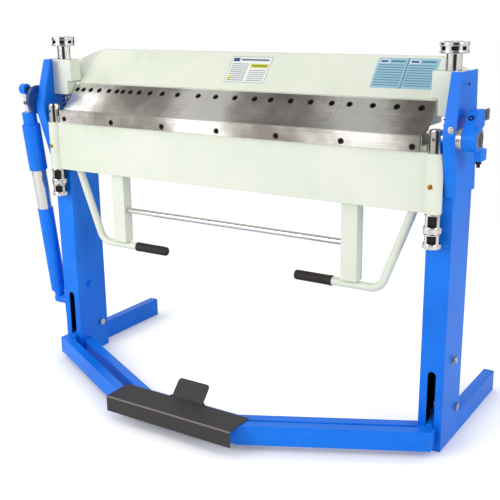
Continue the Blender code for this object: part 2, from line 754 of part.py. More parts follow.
def leaf():
    """The swinging leaf: folded plate, end housings, steel bar, posts, tie rod and handles."""
    back = bend_y - GAP
    upper = block((-half, leaf_front, housing_top - OVERRUN), (half, back, BED_HEIGHT))
    lower = block((-post_x, leaf_front, leaf_foot), (post_x, back, housing_top))
    flange = block((-half, leaf_front, leaf_foot), (half, leaf_front + LEAF_FLANGE,
                                                    leaf_foot + LEAF_FLANGE_THICK))
    parts = [lower, flange]
    cuts = []
    post_top = leaf_foot + LEAF_FLANGE_THICK / 2
    for side in (1, -1):
        spot = (side * post_x, bend_y, 0)
        parts.append(rod(HOUSING_RADIUS, "Z", spot, leaf_foot - GAP, housing_top))
        cuts.append(rod(SPINDLE_RADIUS + RUN, "Z", spot, leaf_foot - OVERRUN, housing_top + OVERRUN,
                        FEW_FACETS))
        low, high = ordered(side, post_offset - POST_WIDTH / 2, post_offset + POST_WIDTH / 2)
        parts.append(block((low, POST_FRONT, post_foot), (high, POST_FRONT + POST_DEPTH, post_top)))
        cuts.append(block((low + POST_WALL, POST_FRONT + POST_WALL, post_foot - OVERRUN),
                          (high - POST_WALL, POST_FRONT + POST_DEPTH - POST_WALL, leaf_foot - GAP)))
        inner = side * (post_offset - POST_WIDTH / 2)
        cuts.append(rod(TIE_RADIUS + GAP, "X", (0, POST_FRONT + POST_DEPTH / 2, tie_height),
                        inner - side * OVERRUN / 2, inner + side * OVERRUN, FEW_FACETS))
    body = cut(joined(upper, *parts), *cuts)
    place("leaf", body, cream_paint, leaf_axis)
    bar = block((-half, leaf_front - GAP - LEAF_BAR_THICK, BED_HEIGHT - LEAF_BAR_TALL),
                (half, leaf_front - GAP, BED_HEIGHT))
    place("leaf_bar", bar, ground_steel, leaf_axis)
    reach = post_offset - POST_WIDTH / 2 + TIE_INSERT
    tie = rod(TIE_RADIUS, "X", (0, POST_FRONT + POST_DEPTH / 2, tie_height), -reach, reach, FEW_FACETS)
    place("tie_rod", tie, chrome_plate, leaf_axis)


def handle(side):
    """Bent tube handle under the leaf, with a soft grip pushed over its inner end."""
    y = POST_FRONT + POST_DEPTH / 2
    level = post_foot - GAP - HANDLE_RADIUS
    top = Vector((handle_top_x, y, leaf_foot - GAP))
    knee = Vector((handle_knee_x, y, level))
    end = Vector((handle_end_x, y, level))
    down = (knee - top).normalized()
    along = (end - knee).normalized()
    half_turn = down.angle(along) / 2
    setback = HANDLE_BEND * math.tan(half_turn)
    start = knee - down * setback
    inward = (along - down * down.dot(along)).normalized()
    centre = start + inward * HANDLE_BEND
    path = [top]
    steps = 8
    for k in range(steps + 1):
        a = 2 * half_turn * k / steps
        path.append(centre - inward * HANDLE_BEND * math.cos(a) + down * HANDLE_BEND * math.sin(a))
    path.append(end)
    tube = swept([Vector((side * p.x, p.y, p.z)) for p in path], HANDLE_RADIUS, FEW_FACETS)
    trim = block((-half, y - OVERRUN, leaf_foot - GAP), (half, y + OVERRUN, leaf_foot + OVERRUN))
    place(side_name("handle", side), cut(tube, trim), cream_paint, leaf_axis)
    tip = handle_end_x - GRIP_END
    mouth = tip + GRIP_LENGTH
    bore = HANDLE_RADIUS + GAP
    round_off = GRIP_RADIUS / 2
    profile = [(bore, handle_end_x - GAP), (0, handle_end_x - GAP), (0, tip), (GRIP_RADIUS - round_off, tip),
               (GRIP_RADIUS, tip + round_off), (GRIP_RADIUS, mouth), (bore, mouth)]
    sleeve = turned_open([(r, side * x) for r, x in profile], "X", (0, y, level))
    place(side_name("grip", side), sleeve, grip_rubber, leaf_axis)


def turned_open(profile, axis, centre):
    """A blind sleeve: its bore ends on the axis at one point and its nose at another."""
    bm = bmesh.new()
    order = {"X": (2, 0, 1), "Y": (1, 2, 0), "Z": (0, 1, 2)}[axis]
    middle = Vector(centre)
    rows = []
    for radius, along in profile:
        turns = 1 if radius == 0 else FEW_FACETS
        row = []
        for k in range(turns):
            a = 2 * math.pi * k / FEW_FACETS
            p = (radius * math.cos(a), radius * math.sin(a), along)
            row.append(bm.verts.new(middle + Vector([p[i] for i in order])))
        rows.append(row)
    links = [(rows[-1], rows[0])]
    for a, b in zip(rows, rows[1:]):
        if len(a) > 1 or len(b) > 1:
            links.append((a, b))
    for a, b in links:
        for k in range(FEW_FACETS):
            m = (k + 1) % FEW_FACETS
            if len(a) == 1:
                bm.faces.new((a[0], b[k], b[m]))
            elif len(b) == 1:
                bm.faces.new((a[k], a[m], b[0]))
            else:
                bm.faces.new((a[k], a[m], b[m], b[k]))
    return mesh_of(bm, "sleeve")


def swept(path, radius, facets):
    """A round bar along a path that lies in one upright plane facing front."""
    bm = bmesh.new()
    across = Vector((0, 1, 0))
    rings = []
    for i, point in enumerate(path):
        before = (point - path[i - 1]).normalized() if i else (path[1] - point).normalized()
        after = (path[i + 1] - point).normalized() if i + 1 < len(path) else before
        way = (before + after).normalized()
        stretch = 1 / max(way.dot(before), 0.5)
        out = across.cross(way).normalized()
        ring = []
        for k in range(facets):
            a = 2 * math.pi * k / facets
            sideways = out * radius * stretch * math.sin(a)
            ring.append(bm.verts.new(point + across * radius * math.cos(a) + sideways))
        rings.append(ring)
    for a, b in zip(rings, rings[1:]):
        for k in range(facets):
            m = (k + 1) % facets
            bm.faces.new((a[k], a[m], b[m], b[k]))
    bm.faces.new(rings[0])
    bm.faces.new(list(reversed(rings[-1])))
    return mesh_of(bm, "swept")


def angle_ring():
    start = boss_out + RUN
    bore = SHAFT_RADIUS + GAP
    end = start + RING_THICK
    profile = ((bore, start), (RING_RADIUS, start), (RING_RADIUS, end), (bore, end))
    ring = turned(profile, "X", (0, bend_y, BED_HEIGHT))
    return place("angle_ring", ring, chrome_plate, leaf_axis)


def stop_collar():
    """Collar on the right shaft: upper arm for the thumb screw and a dog below."""
    start = collar_start + GAP
    spot = (0, bend_y, BED_HEIGHT)
    hub = rod(COLLAR_RADIUS, "X", spot, start, collar_end)
    low = BED_HEIGHT + STOP_ARM_LOW
    high = BED_HEIGHT + STOP_ARM_TALL
    hub_y = [COLLAR_RADIUS * share for share in HUB_SHARES]
    back = bend_y + STOP_ARM_BACK
    arm_outline = [(bend_y - hub_y[0], BED_HEIGHT + hub_y[1]), (bend_y - COLLAR_RADIUS / 2, BED_HEIGHT + GAP),
                   (bend_y + COLLAR_RADIUS / 2, BED_HEIGHT + GAP), (back, low), (back, high - OVERRUN / 2),
                   (back - OVERRUN / 2, high), (bend_y + STOP_ARM_FRONT, high)]
    arm = prism(arm_outline, "X", start + GAP, start + STOP_ARM_THICK)
    dog_low = BED_HEIGHT - DOG_DROP
    dog_top = dog_low + DOG_THICK
    near = bend_y + DOG_FRONT
    far = bend_y + DOG_BACK
    dog_outline = [(near, dog_low), (far, dog_low), (far, dog_top), (near + DOG_WEB, dog_top),
                   (bend_y + hub_y[4], BED_HEIGHT - hub_y[5]), (bend_y + hub_y[2], BED_HEIGHT - hub_y[3]),
                   (near, dog_low + DOG_WEB)]
    dog = prism(dog_outline, "X", collar_end - DOG_WIDTH, collar_end - GAP)
    bore = turned(((0, start - OVERRUN), (SHAFT_END_RADIUS + GAP, start - OVERRUN),
                   (SHAFT_END_RADIUS + GAP, collar_end + OVERRUN), (0, collar_end + OVERRUN)), "X", spot)
    face = screw_face
    hole = rod(SCREW_RADIUS + GAP, "Y", (screw_x, 0, screw_z), face - SCREW_INSERT - GAP, face + OVERRUN,
               FEW_FACETS)
    place("stop_collar", cut(joined(hub, arm, dog), bore, hole), blue_paint, leaf_axis)
    tip = face - SCREW_INSERT
    neck = face + SCREW_SHANK
    end = neck + WING_LENGTH
    shank = rod(SCREW_RADIUS, "Y", (screw_x, 0, screw_z), tip, neck + WING_LENGTH / 4, FEW_FACETS)
    wing = block((screw_x - WING_THICK / 2, neck, screw_z - WING_RADIUS),
                 (screw_x + WING_THICK / 2, end, screw_z + WING_RADIUS))
    hub = rod(SCREW_RADIUS + WING_THICK / 2, "Y", (screw_x, 0, screw_z), neck - WING_THICK / 2,
              neck + WING_LENGTH / 2, FEW_FACETS)
    place("thumb_screw", joined(shank, wing, hub), ground_steel, thumb_axis)


def crank_disc():
    """Disc set off centre on the left shaft, which drives the counterbalance strut."""
    low, high = ordered(-1, boss_out + RUN, crank_out)
    disc = rod(CRANK_RADIUS, "X", (0, bend_y + CRANK_BACK, BED_HEIGHT + CRANK_RISE), low, high)
    bore = rod(SHAFT_RADIUS + GAP, "X", (0, bend_y, BED_HEIGHT), low - OVERRUN, high + OVERRUN)
    return place("crank_disc", cut(disc, bore), blue_paint, leaf_axis)


def strut():
    """Counterbalance strut: lower tube on its bracket, and a plated ram under a wide cover."""
    foot = (-strut_x, STRUT_FOOT_Y, STRUT_FOOT_Z)
    lean = (Matrix.Translation(Vector(foot)) @ Matrix.Rotation(strut_tilt, 4, "X"))

    def leaned(mesh):
        mesh.transform(lean)
        return mesh

    neck_low = EYE_RADIUS * 0.5
    body = turned(((0, neck_low), (EYE_RADIUS, neck_low), (EYE_RADIUS, EYE_RADIUS * 1.5), (TUBE_RADIUS,
                                                                                           EYE_RADIUS * 2),
                   (TUBE_RADIUS, TUBE_LENGTH), (0, TUBE_LENGTH)), "Z", (0, 0, 0))
    eye = rod(EYE_RADIUS, "X", (0, 0, 0), -EYE_THICK / 2, EYE_THICK / 2, FEW_FACETS)
    trim_low = rod(TUBE_BORE, "Z", (0, 0, 0), TUBE_FLOOR, TUBE_LENGTH + OVERRUN)
    pin_bore = rod(CRANK_PIN_RADIUS + GAP, "X", (0, 0, 0), -EYE_THICK, EYE_THICK, FEW_FACETS)
    flat = []
    for side in (1, -1):
        low, high = ordered(side, EYE_THICK / 2, EYE_THICK / 2 + OVERRUN)
        flat.append(block((low, -TUBE_RADIUS, -EYE_RADIUS), (high, TUBE_RADIUS, EYE_RADIUS * 1.1)))
    tube = cut(joined(body, eye), trim_low, pin_bore, *flat)
    place("strut_tube", leaned(tube), blue_paint, strut_foot)

    cover_low = TUBE_LENGTH + RAM_SHOWN
    cover_high = cover_low + COVER_LENGTH
    neck_high = cover_high + NECK_LENGTH
    eye_low = strut_length - EYE_RADIUS * 0.8
    ram_low = TUBE_LENGTH - RAM_INSIDE
    profile = ((0, ram_low), (RAM_RADIUS, ram_low), (RAM_RADIUS, cover_low), (COVER_RADIUS, cover_low),
               (COVER_RADIUS, cover_high), (NECK_RADIUS, cover_high), (NECK_RADIUS, neck_high),
               (LINK_RADIUS, neck_high), (LINK_RADIUS, eye_low), (0, eye_low))
    ram = turned(profile, "Z", (0, 0, 0))
    top_eye = rod(EYE_RADIUS, "X", (0, 0, strut_length), -EYE_THICK / 2, EYE_THICK / 2, FEW_FACETS)
    pin_end = strut_x - crank_out - GAP
    pin = rod(CRANK_PIN_RADIUS, "X", (0, 0, strut_length), 0, pin_end, FEW_FACETS)
    place("strut_ram", leaned(joined(ram, top_eye, pin)), blue_paint, strut_foot)


def finger(number, start, width):
    """One removable finger: ground wedge with a sharp nose and a relieved throat."""
    rear = FINGER_THICK * math.sqrt(2)
    deep_y = crest_y + FINGER_CREST
    throat_y = nose_y + rear + FINGER_LAND / 2
    outline = [(nose_y, nose_z), (crest_y, crest_z), (deep_y, crest_z), (deep_y,
                                                                         deep_y - nose_y + nose_z - rear),
               (throat_y, throat_y - nose_y + nose_z - rear), (nose_y + FINGER_LAND, nose_z)]
    wedge = prism(outline, "X", start + FINGER_SEAM / 2, start + width - FINGER_SEAM / 2)
    return place("finger_%02d" % number, wedge, ground_steel, beam_line)


def clamping_beam():
    """Thick beam bar behind the fingers and the folded front sheet above it."""
    rear = FINGER_THICK * math.sqrt(2) + 2 * GAP
    front = crest_y + FINGER_CREST + GAP
    low = BED_HEIGHT + BEAM_THROAT
    toe = low - nose_z + nose_y + rear
    face_top = front - nose_y + nose_z - rear
    top = BED_HEIGHT + BEAM_BAR_TOP
    outline = [(toe, low), (front, face_top), (front, top), (BEAM_BACK, top), (BEAM_BACK, low)]
    place("beam_bar", prism(outline, "X", -half, half), cream_paint, beam_line)

    sheet_foot = top + GAP
    place("beam_sheet", beam_sheet(sheet_foot), cream_paint, beam_line)


def facet_back(x, z):
    """How far back the folded end facet lies at a place across and up."""
    drop = (sheet_z + SHEET_RISE - z) / SHEET_RISE
    edge_x = half - SHEET_NARROW * (1 - drop)
    return sheet_y + sheet_run * (1 - drop) + (x - edge_x) * FACET_SWEEP


def slab(corners, thick):
    """A flat plate given by its front corners and pushed straight back."""
    bm = bmesh.new()
    front = [bm.verts.new(Vector(p)) for p in corners]
    back = [bm.verts.new(Vector((p[0], p[1] + thick, p[2]))) for p in corners]
    bm.faces.new(front)
    bm.faces.new(list(reversed(back)))
    for i in range(len(corners)):
        j = (i + 1) % len(corners)
        bm.faces.new((front[i], front[j], back[j], back[i]))
    bmesh.ops.triangulate(bm, faces=[f for f in bm.faces if len(f.verts) > 3])
    return mesh_of(bm, "slab")


def beam_sheet(foot):
    """Sloping front sheet with its narrow folded ends, a return along the top and ribs behind."""
    crest = (sheet_y + sheet_run, sheet_z + SHEET_RISE)
    thick = SHEET_THICK / math.sin(SHEET_LEAN)
    lead = (foot - sheet_z) / math.tan(SHEET_LEAN)
    low_half = half - SHEET_NARROW * (foot - sheet_z) / SHEET_RISE
    top_half = half - SHEET_NARROW
    sheet = slab([(-low_half, sheet_y + lead, foot), (low_half, sheet_y + lead, foot),
                  (top_half, crest[0], crest[1]), (-top_half, crest[0], crest[1])], thick)
    shelf = block((-top_half, crest[0] + GAP, crest[1] - SHEET_THICK),
                  (top_half, crest[0] + SHEET_RETURN, crest[1] - GAP))
    extras = [shelf]
    cuts = []
    wing_x = half + WING_REACH
    for side in (1, -1):
        root = low_half - thick / 4
        root_top = top_half - thick / 4
        points = [(side * root, facet_back(root, foot), foot + GAP / 2),
                  (side * wing_x, facet_back(wing_x, foot), foot + GAP / 2),
                  (side * wing_x, facet_back(wing_x, wing_top), wing_top),
                  (side * root_top, facet_back(root_top, crest[1]), crest[1] - GAP / 2)]
        extras.append(slab(points, thick))
        low, high = ordered(side, half + BLOCK_STEP_IN, wing_x - GAP)
        back = BLOCK_FRONT + BLOCK_DEPTH + GAP
        extras.append(block((low, back, foot + GAP), (high, back + END_PLATE, wing_top - END_PLATE * 2)))
        low, high = ordered(side, half, head_out)
        cuts.append(block((low, -OVERRUN, foot - OVERRUN), (high, back, block_top + OVERRUN)))
    rib_outline = [(sheet_y + lead + thick / 2, foot), (crest[0] + thick / 2, crest[1] - SHEET_THICK / 2),
                   (crest[0] + SHEET_RETURN - GAP, crest[1] - SHEET_THICK / 2), (BEAM_BACK, foot)]
    for k in range(RIB_COUNT):
        middle = BEND_LENGTH * ((k + 1) / (RIB_COUNT + 1) - 1 / 2)
        extras.append(prism(rib_outline, "X", middle - RIB_THICK / 2, middle + RIB_THICK / 2))
    return cut(joined(sheet, *extras), *cuts)


def guide_block(side):
    """Stepped end block of the beam that the clamp rod draws down."""
    low, high = ordered(side, half + GAP, head_in - RUN)
    step_low, step_high = ordered(side, half + GAP + BLOCK_STEP_IN, head_in - RUN)
    inner, outer = (low, high)
    outline = [(inner, block_top), (outer, block_top), (outer, block_foot), (step_low, block_foot),
               (step_low, block_step), (inner, block_step)]
    if side < 0:
        outline = [(inner, block_top), (outer, block_top), (outer, block_step), (step_high, block_step),
                   (step_high, block_foot), (inner, block_foot)]
    body = prism(outline, "Y", BLOCK_FRONT, BLOCK_FRONT + BLOCK_DEPTH)
    bore = rod(ROD_RADIUS + GAP, "Z", (side * line_x, rod_y, 0), block_foot - OVERRUN, block_top + OVERRUN,
               FEW_FACETS)
    return place(side_name("guide_block", side), cut(body, bore), cream_paint, beam_line)


def clamp_rod(side):
    """Pull rod from the treadle arm up to the hand knob, forked at its foot."""
    x = side * line_x
    bar = rod(ROD_RADIUS, "Z", (x, rod_y, 0), FORK_TOP - OVERRUN / 2, knob_foot + ROD_INSERT, FEW_FACETS)
    fork = block((x - FORK_WIDTH / 2, rod_y - FORK_DEPTH / 2, FORK_FOOT), (x + FORK_WIDTH / 2,
                                                                           rod_y + FORK_DEPTH / 2, FORK_TOP))
    slot_half = ARM_THICK / 2 + RUN
    slot = block((x - slot_half, rod_y - FORK_DEPTH, FORK_FOOT - OVERRUN), (x + slot_half,
                                                                            rod_y + FORK_DEPTH, FORK_CROTCH))
    pin = rod(FORK_PIN_RADIUS, "X", (0, rod_y, arm_eye_z()), x - FORK_WIDTH / 2, x + FORK_WIDTH / 2,
              FEW_FACETS)
    return place(side_name("clamp_rod", side), joined(cut(joined(fork, bar), slot), pin), chrome_plate,
                 beam_line)


def arm_eye_z():
    """Height of the rod's pin on the line from the treadle's pivot to its toe."""
    slope = (PIVOT_HEIGHT - ARM_TOE_Z) / (PIVOT_BACK - ARM_TOE_Y)
    return PIVOT_HEIGHT - (PIVOT_BACK - rod_y) * slope


def sleeve_and_knob(side):
    """Plated spacer sleeve on the guide block and the notched hand knob above it."""
    spot = (side * line_x, rod_y, 0)
    foot = block_top + GAP
    top = foot + SLEEVE_TALL
    bore = ROD_RADIUS + GAP
    sleeve = turned(((bore, foot), (SLEEVE_RADIUS, foot), (SLEEVE_RADIUS, top), (bore, top)), "Z", spot)
    place(side_name("sleeve", side), sleeve, chrome_plate, beam_line)
    hub = KNOB_RADIUS * KNOB_HUB_SHARE
    rim = KNOB_TALL * KNOB_RIM_SHARE
    low = knob_foot + rim
    high = knob_foot + KNOB_TALL - rim / 2
    roof = knob_foot + KNOB_TALL
    inside = knob_foot + ROD_INSERT + GAP
    rule = fluted(KNOB_RADIUS, KNOB_NOTCH_DEPTH, KNOB_NOTCHES, low, high)
    body = turned(((0, knob_foot), (hub, knob_foot), (KNOB_RADIUS, knob_foot + GAP), (KNOB_RADIUS, low - GAP),
                   (KNOB_RADIUS, low), (KNOB_RADIUS, high), (hub, roof), (0, roof)), "Z", spot, FACETS, rule)
    hole = rod(bore, "Z", spot, knob_foot - OVERRUN, inside, FEW_FACETS)
    place(side_name("knob", side), cut(body, hole), chrome_plate, rod_axis[side])


def treadle():
    """Welded treadle: splayed tube with stubs and lever arms that enter the columns."""
    bar = splayed_bar(treadle_end, TREADLE_JOIN, treadle_knee, TREADLE_WIDTH, TREADLE_FOOT, TREADLE_HEIGHT,
                      TREADLE_WALL, True)
    slope = math.atan2(PIVOT_HEIGHT - ARM_TOE_Z, PIVOT_BACK - ARM_TOE_Y)
    up = (-math.sin(slope) * ARM_HALF, math.cos(slope) * ARM_HALF)
    outline = arc((PIVOT_BACK, PIVOT_HEIGHT), ARM_HALF, slope - math.pi / 2, slope + math.pi / 2, 8)
    outline += [(ARM_TOE_Y + up[0], ARM_TOE_Z + up[1]), (ARM_TOE_Y - up[0], ARM_TOE_Z - up[1])]
    parts = []
    cuts = []
    for side in (1, -1):
        x = side * line_x
        parts.append(prism(outline, "X", x - ARM_THICK / 2, x + ARM_THICK / 2))
        parts.append(block((x - STUB_WIDTH / 2, STUB_FRONT, TREADLE_FOOT - GAP),
                           (x + STUB_WIDTH / 2, STUB_BACK, treadle_top - GAP)))
        cuts.append(rod(PIVOT_RADIUS + RUN, "X", (x, PIVOT_BACK, PIVOT_HEIGHT), -ARM_THICK, ARM_THICK,
                        FEW_FACETS))
        cuts.append(rod(ARM_EYE, "X", (x, rod_y, arm_eye_z()), -ARM_THICK, ARM_THICK, FEW_FACETS))
    place("treadle", cut(joined(bar, *parts), *cuts), blue_paint, treadle_axis)


def foot_plate():
    """Folded tread plate on the treadle, with two lugs for the release tab."""
    top = block((-plate_half, plate_front, plate_foot), (plate_half, plate_back, plate_top))
    skirt = block((-plate_half, plate_front, plate_top - PLATE_SKIRT), (plate_half,
                                                                        plate_front + PLATE_THICK, plate_top))
    lugs = []
    holes = []
    for side in (1, -1):
        low, high = ordered(side, TAB_HALF + RUN, TAB_HALF + RUN + LUG_THICK)
        lugs.append(block((low, plate_back - LUG_THICK, plate_top - LUG_TALL), (high, plate_back + LUG_DEPTH,
                                                                                plate_top)))
        middle = (low + high) / 2
        holes.append(rod(TAB_PIN + GAP, "X", (middle, tab_axis_y, tab_axis_z), -LUG_THICK, LUG_THICK,
                         FEW_FACETS))
    place("foot_plate", cut(joined(top, skirt, *lugs), *holes), tread_coat, treadle_axis)


def release_tab():
    """Upright tab behind the foot plate that is kicked to let the clamp go."""
    way = (math.sin(TAB_LEAN), math.cos(TAB_LEAN))
    side_way = (way[1], -way[0])
    corner = TAB_CORNER
    outline = [(-TAB_HALF, 0), (TAB_HALF, 0)]
    outline += arc((TAB_HALF - corner, TAB_LENGTH - corner), corner, 0, math.pi / 2, 4)
    outline += arc((corner - TAB_HALF, TAB_LENGTH - corner), corner, math.pi / 2, math.pi, 4)
    sheet = prism(outline, "Y", -TAB_THICK / 2, TAB_THICK / 2)
    sheet.transform(Matrix.Rotation(-TAB_LEAN, 4, "X"))
    sheet.transform(Matrix.Translation(Vector((0, tab_axis_y, tab_axis_z))))
    spot = (0, tab_axis_y, tab_axis_z)
    barrel = rod(TAB_BARREL, "X", spot, -TAB_HALF, TAB_HALF, FEW_FACETS)
    reach = TAB_HALF + RUN + LUG_THICK
    pin = rod(TAB_PIN, "X", spot, -reach, reach, FEW_FACETS)
    place("release_tab", joined(barrel, sheet, pin), tread_coat, tab_axis)


for hand in (1, -1):
    column(hand)
    rear_foot(hand)
    head(hand)
    treadle_pin(hand)
    rod_guide(hand)
    lift_spring(hand)
    trunnion(hand)
    ring_nut("adjusting_nut", hand, leaf_foot - 2 * GAP, NUT_TALL)
    ring_nut("lock_nut", hand, leaf_foot - 3 * GAP - NUT_TALL, LOCKNUT_TALL)
    handle(hand)
    guide_block(hand)
    clamp_rod(hand)
    sleeve_and_knob(hand)

floor_frame()
bed()
strut_bracket()
leaf()
angle_ring()
stop_collar()
crank_disc()
strut()
clamping_beam()
treadle()
foot_plate()
release_tab()

edge = -half
for index, span in enumerate(finger_widths):
    finger(index + 1, edge, span)
    edge += span
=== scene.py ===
import json
import math
import bmesh
import bpy
from mathutils import Matrix, Vector
from mathutils.bvhtree import BVHTree

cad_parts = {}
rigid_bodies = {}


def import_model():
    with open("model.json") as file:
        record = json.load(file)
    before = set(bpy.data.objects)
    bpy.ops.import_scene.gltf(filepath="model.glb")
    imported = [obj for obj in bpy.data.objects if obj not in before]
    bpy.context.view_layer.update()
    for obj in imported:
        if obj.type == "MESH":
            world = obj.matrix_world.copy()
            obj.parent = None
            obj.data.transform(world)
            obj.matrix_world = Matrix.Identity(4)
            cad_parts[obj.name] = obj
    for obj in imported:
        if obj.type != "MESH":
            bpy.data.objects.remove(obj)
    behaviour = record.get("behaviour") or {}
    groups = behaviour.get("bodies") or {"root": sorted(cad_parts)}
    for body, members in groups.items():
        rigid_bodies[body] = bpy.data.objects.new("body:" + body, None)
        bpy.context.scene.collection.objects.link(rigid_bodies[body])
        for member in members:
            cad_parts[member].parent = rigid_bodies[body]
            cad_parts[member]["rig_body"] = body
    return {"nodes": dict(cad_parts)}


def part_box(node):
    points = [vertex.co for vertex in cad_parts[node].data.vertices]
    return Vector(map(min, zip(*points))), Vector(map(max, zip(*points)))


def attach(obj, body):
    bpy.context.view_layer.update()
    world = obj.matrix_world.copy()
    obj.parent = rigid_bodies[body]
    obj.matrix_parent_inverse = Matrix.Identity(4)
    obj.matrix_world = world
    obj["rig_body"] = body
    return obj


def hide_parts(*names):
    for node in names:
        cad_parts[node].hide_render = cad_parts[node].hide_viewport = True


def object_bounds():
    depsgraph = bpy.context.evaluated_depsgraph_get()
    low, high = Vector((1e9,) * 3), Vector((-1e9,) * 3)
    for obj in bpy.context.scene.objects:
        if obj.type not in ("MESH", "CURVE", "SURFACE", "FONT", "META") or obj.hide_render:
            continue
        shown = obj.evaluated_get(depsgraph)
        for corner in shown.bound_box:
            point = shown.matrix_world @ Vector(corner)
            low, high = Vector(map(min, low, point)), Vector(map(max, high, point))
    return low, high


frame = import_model()
cad_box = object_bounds()

# Camera and studio. The photograph looks down the front from the right at chest height, with a
# short telephoto lens. The machine's own zero is the floor at the middle of the column fronts.
bar_low, bar_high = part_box("bed_bar")
origin = Vector(((bar_low.x + bar_high.x) / 2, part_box("column_right")[0].y, 0.0))
LEAF_CLEARANCE = 0.0003
bend_y = bar_low.y - origin.y - LEAF_CLEARANCE
CAMERA_PLACE = (1.4506, -2.1194, 1.2261)
CAMERA_TURN = (32.767, 15.919, -0.719)
LENS_LENGTH = 61.74
SENSOR_WIDTH = 36.0


def at(x, y, z):
    """A place given in the machine's own coordinates, as a place in the scene."""
    return origin + Vector((x, y, z))


scene = bpy.context.scene
scene.view_settings.view_transform = "Standard"
yaw, pitch, roll = (math.radians(a) for a in CAMERA_TURN)
forward = Vector((-math.sin(yaw) * math.cos(pitch), math.cos(yaw) * math.cos(pitch), -math.sin(pitch)))
level = Vector((math.cos(yaw), math.sin(yaw), 0.0))
upright = level.cross(forward)
right = math.cos(roll) * level + math.sin(roll) * upright
up = -math.sin(roll) * level + math.cos(roll) * upright
lens = bpy.data.cameras.new("camera")
lens.lens = LENS_LENGTH
lens.sensor_width = SENSOR_WIDTH


def linked(name, data):
    """A new object of the scene that holds the data."""
    made = bpy.data.objects.new(name, data)
    scene.collection.objects.link(made)
    return made


camera = linked("camera", lens)
view_way = Matrix((right, up, -forward)).transposed().to_4x4()
camera.matrix_world = Matrix.Translation(at(*CAMERA_PLACE)) @ view_way
scene.camera = camera


def lamp(name, place, aim, size, power):
    """A square softbox that faces a point of the machine."""
    light = bpy.data.lights.new(name, "AREA")
    light.shape = "RECTANGLE"
    light.size, light.size_y = size
    light.energy = power
    box = linked(name, light)
    box.location = at(*place)
    box.rotation_euler = (at(*aim) - box.location).to_track_quat("-Z", "Y").to_euler()


lamp("key_softbox", (-1.7, -3.3, 1.9), (0.0, 0.0, 0.6), (2.2, 1.9), 66)
lamp("side_softbox", (3.6, -0.9, 2.0), (0.3, 0.0, 0.6), (1.6, 2.0), 40)
lamp("top_softbox", (-3.2, -0.3, 2.75), (-0.5, 0.05, 0.9), (0.8, 1.3), 16)


def shade(code):
    """Linear colour of an sRGB hex value."""
    parts = [int(code[i:i + 2], 16) / 255 for i in (1, 3, 5)]
    return [p / 12.92 if p <= 0.04045 else ((p + 0.055) / 1.055) ** 2.4 for p in parts] + [1.0]


def add(tree, kind, sockets=None, **settings):
    """Adds a node with its settings, and wires or sets its sockets."""
    made = tree.nodes.new(kind)
    for name, value in settings.items():
        setattr(made, name, value)
    for key, value in (sockets or {}).items():
        if isinstance(value, bpy.types.NodeSocket):
            tree.links.new(value, made.inputs[key])
        else:
            made.inputs[key].default_value = value
    return made


def ramp(tree, factor, stops):
    """A colour ramp node through (place, hex colour) stops."""
    made = add(tree, "ShaderNodeValToRGB", {"Fac": factor})
    line = made.color_ramp
    while len(line.elements) > 1:
        line.elements.remove(line.elements[-1])
    line.elements[0].position = stops[0][0]
    line.elements[0].color = shade(stops[0][1])
    for place, code in stops[1:]:
        line.elements.new(place).color = shade(code)
    return made.outputs["Color"]


# The world: plain soft light on paint, white behind the object, and for polished metal the bright
# walls and darker gaps of a studio, which give plated bars their upright light and dark stripes.
world = bpy.data.worlds.new("studio")
scene.world = world
world.use_nodes = True
tree = world.node_tree
tree.nodes.clear()
rays = add(tree, "ShaderNodeLightPath")
way = add(tree, "ShaderNodeSeparateXYZ", {0: add(tree, "ShaderNodeTexCoord").outputs["Generated"]})
turn = add(tree, "ShaderNodeMath", {0: way.outputs["X"], 1: way.outputs["Y"]}, operation="ARCTAN2")
# Each dark gap: its direction round the machine in radians, then the cosines from which it darkens
# and is full.
SOFT_LIGHT = 0.60
OVERHEAD_LIGHT = 0.42
stripes = None
for middle, edge, core in ((2.541, 0.86, 0.95), (4.66, 0.90, 0.97), (0.05, 0.95, 0.985)):
    past = add(tree, "ShaderNodeMath", {0: turn.outputs[0], 1: middle}, operation="SUBTRACT")
    near = add(tree, "ShaderNodeMath", {0: past.outputs[0]}, operation="COSINE")
    gap = add(tree, "ShaderNodeMapRange", {0: near.outputs[0], 1: edge, 2: core, 3: 0.96, 4: 0.05})
    if stripes is not None:
        gap = add(tree, "ShaderNodeMath", {0: gap.outputs[0], 1: stripes.outputs[0]}, operation="MINIMUM")
    stripes = gap
height = add(tree, "ShaderNodeMapRange", {0: way.outputs["Z"], 1: 0.35, 2: 0.7, 3: 0.0, 4: 1.0})
walls = add(tree, "ShaderNodeMix", {0: height.outputs[0], 2: stripes.outputs[0], 3: OVERHEAD_LIGHT},
            data_type="FLOAT")
ground = add(tree, "ShaderNodeMapRange", {0: way.outputs["Z"], 1: -0.16, 2: -0.02, 3: 0.55, 4: 1.0})
walls = add(tree, "ShaderNodeMath", {0: walls.outputs[0], 1: ground.outputs[0]}, operation="MULTIPLY")
mirror = add(tree, "ShaderNodeMix", {0: rays.outputs["Is Glossy Ray"], 2: SOFT_LIGHT, 3: walls.outputs[0]},
             data_type="FLOAT")
clear = add(tree, "ShaderNodeMath", {0: rays.outputs["Is Camera Ray"],
                                     1: rays.outputs["Is Transmission Ray"]}, operation="MAXIMUM")
power = add(tree, "ShaderNodeMix", {0: clear.outputs[0], 2: mirror.outputs[0], 3: 1.0}, data_type="FLOAT")
sky = add(tree, "ShaderNodeBackground", {"Color": shade("#ffffff"), "Strength": power.outputs[0]})
add(tree, "ShaderNodeOutputWorld", {"Surface": sky.outputs[0]})


def finish_named(name):
    """A new empty material and its node tree."""
    made = bpy.data.materials.new(name)
    made.use_nodes = True
    made.node_tree.nodes.clear()
    return made, made.node_tree


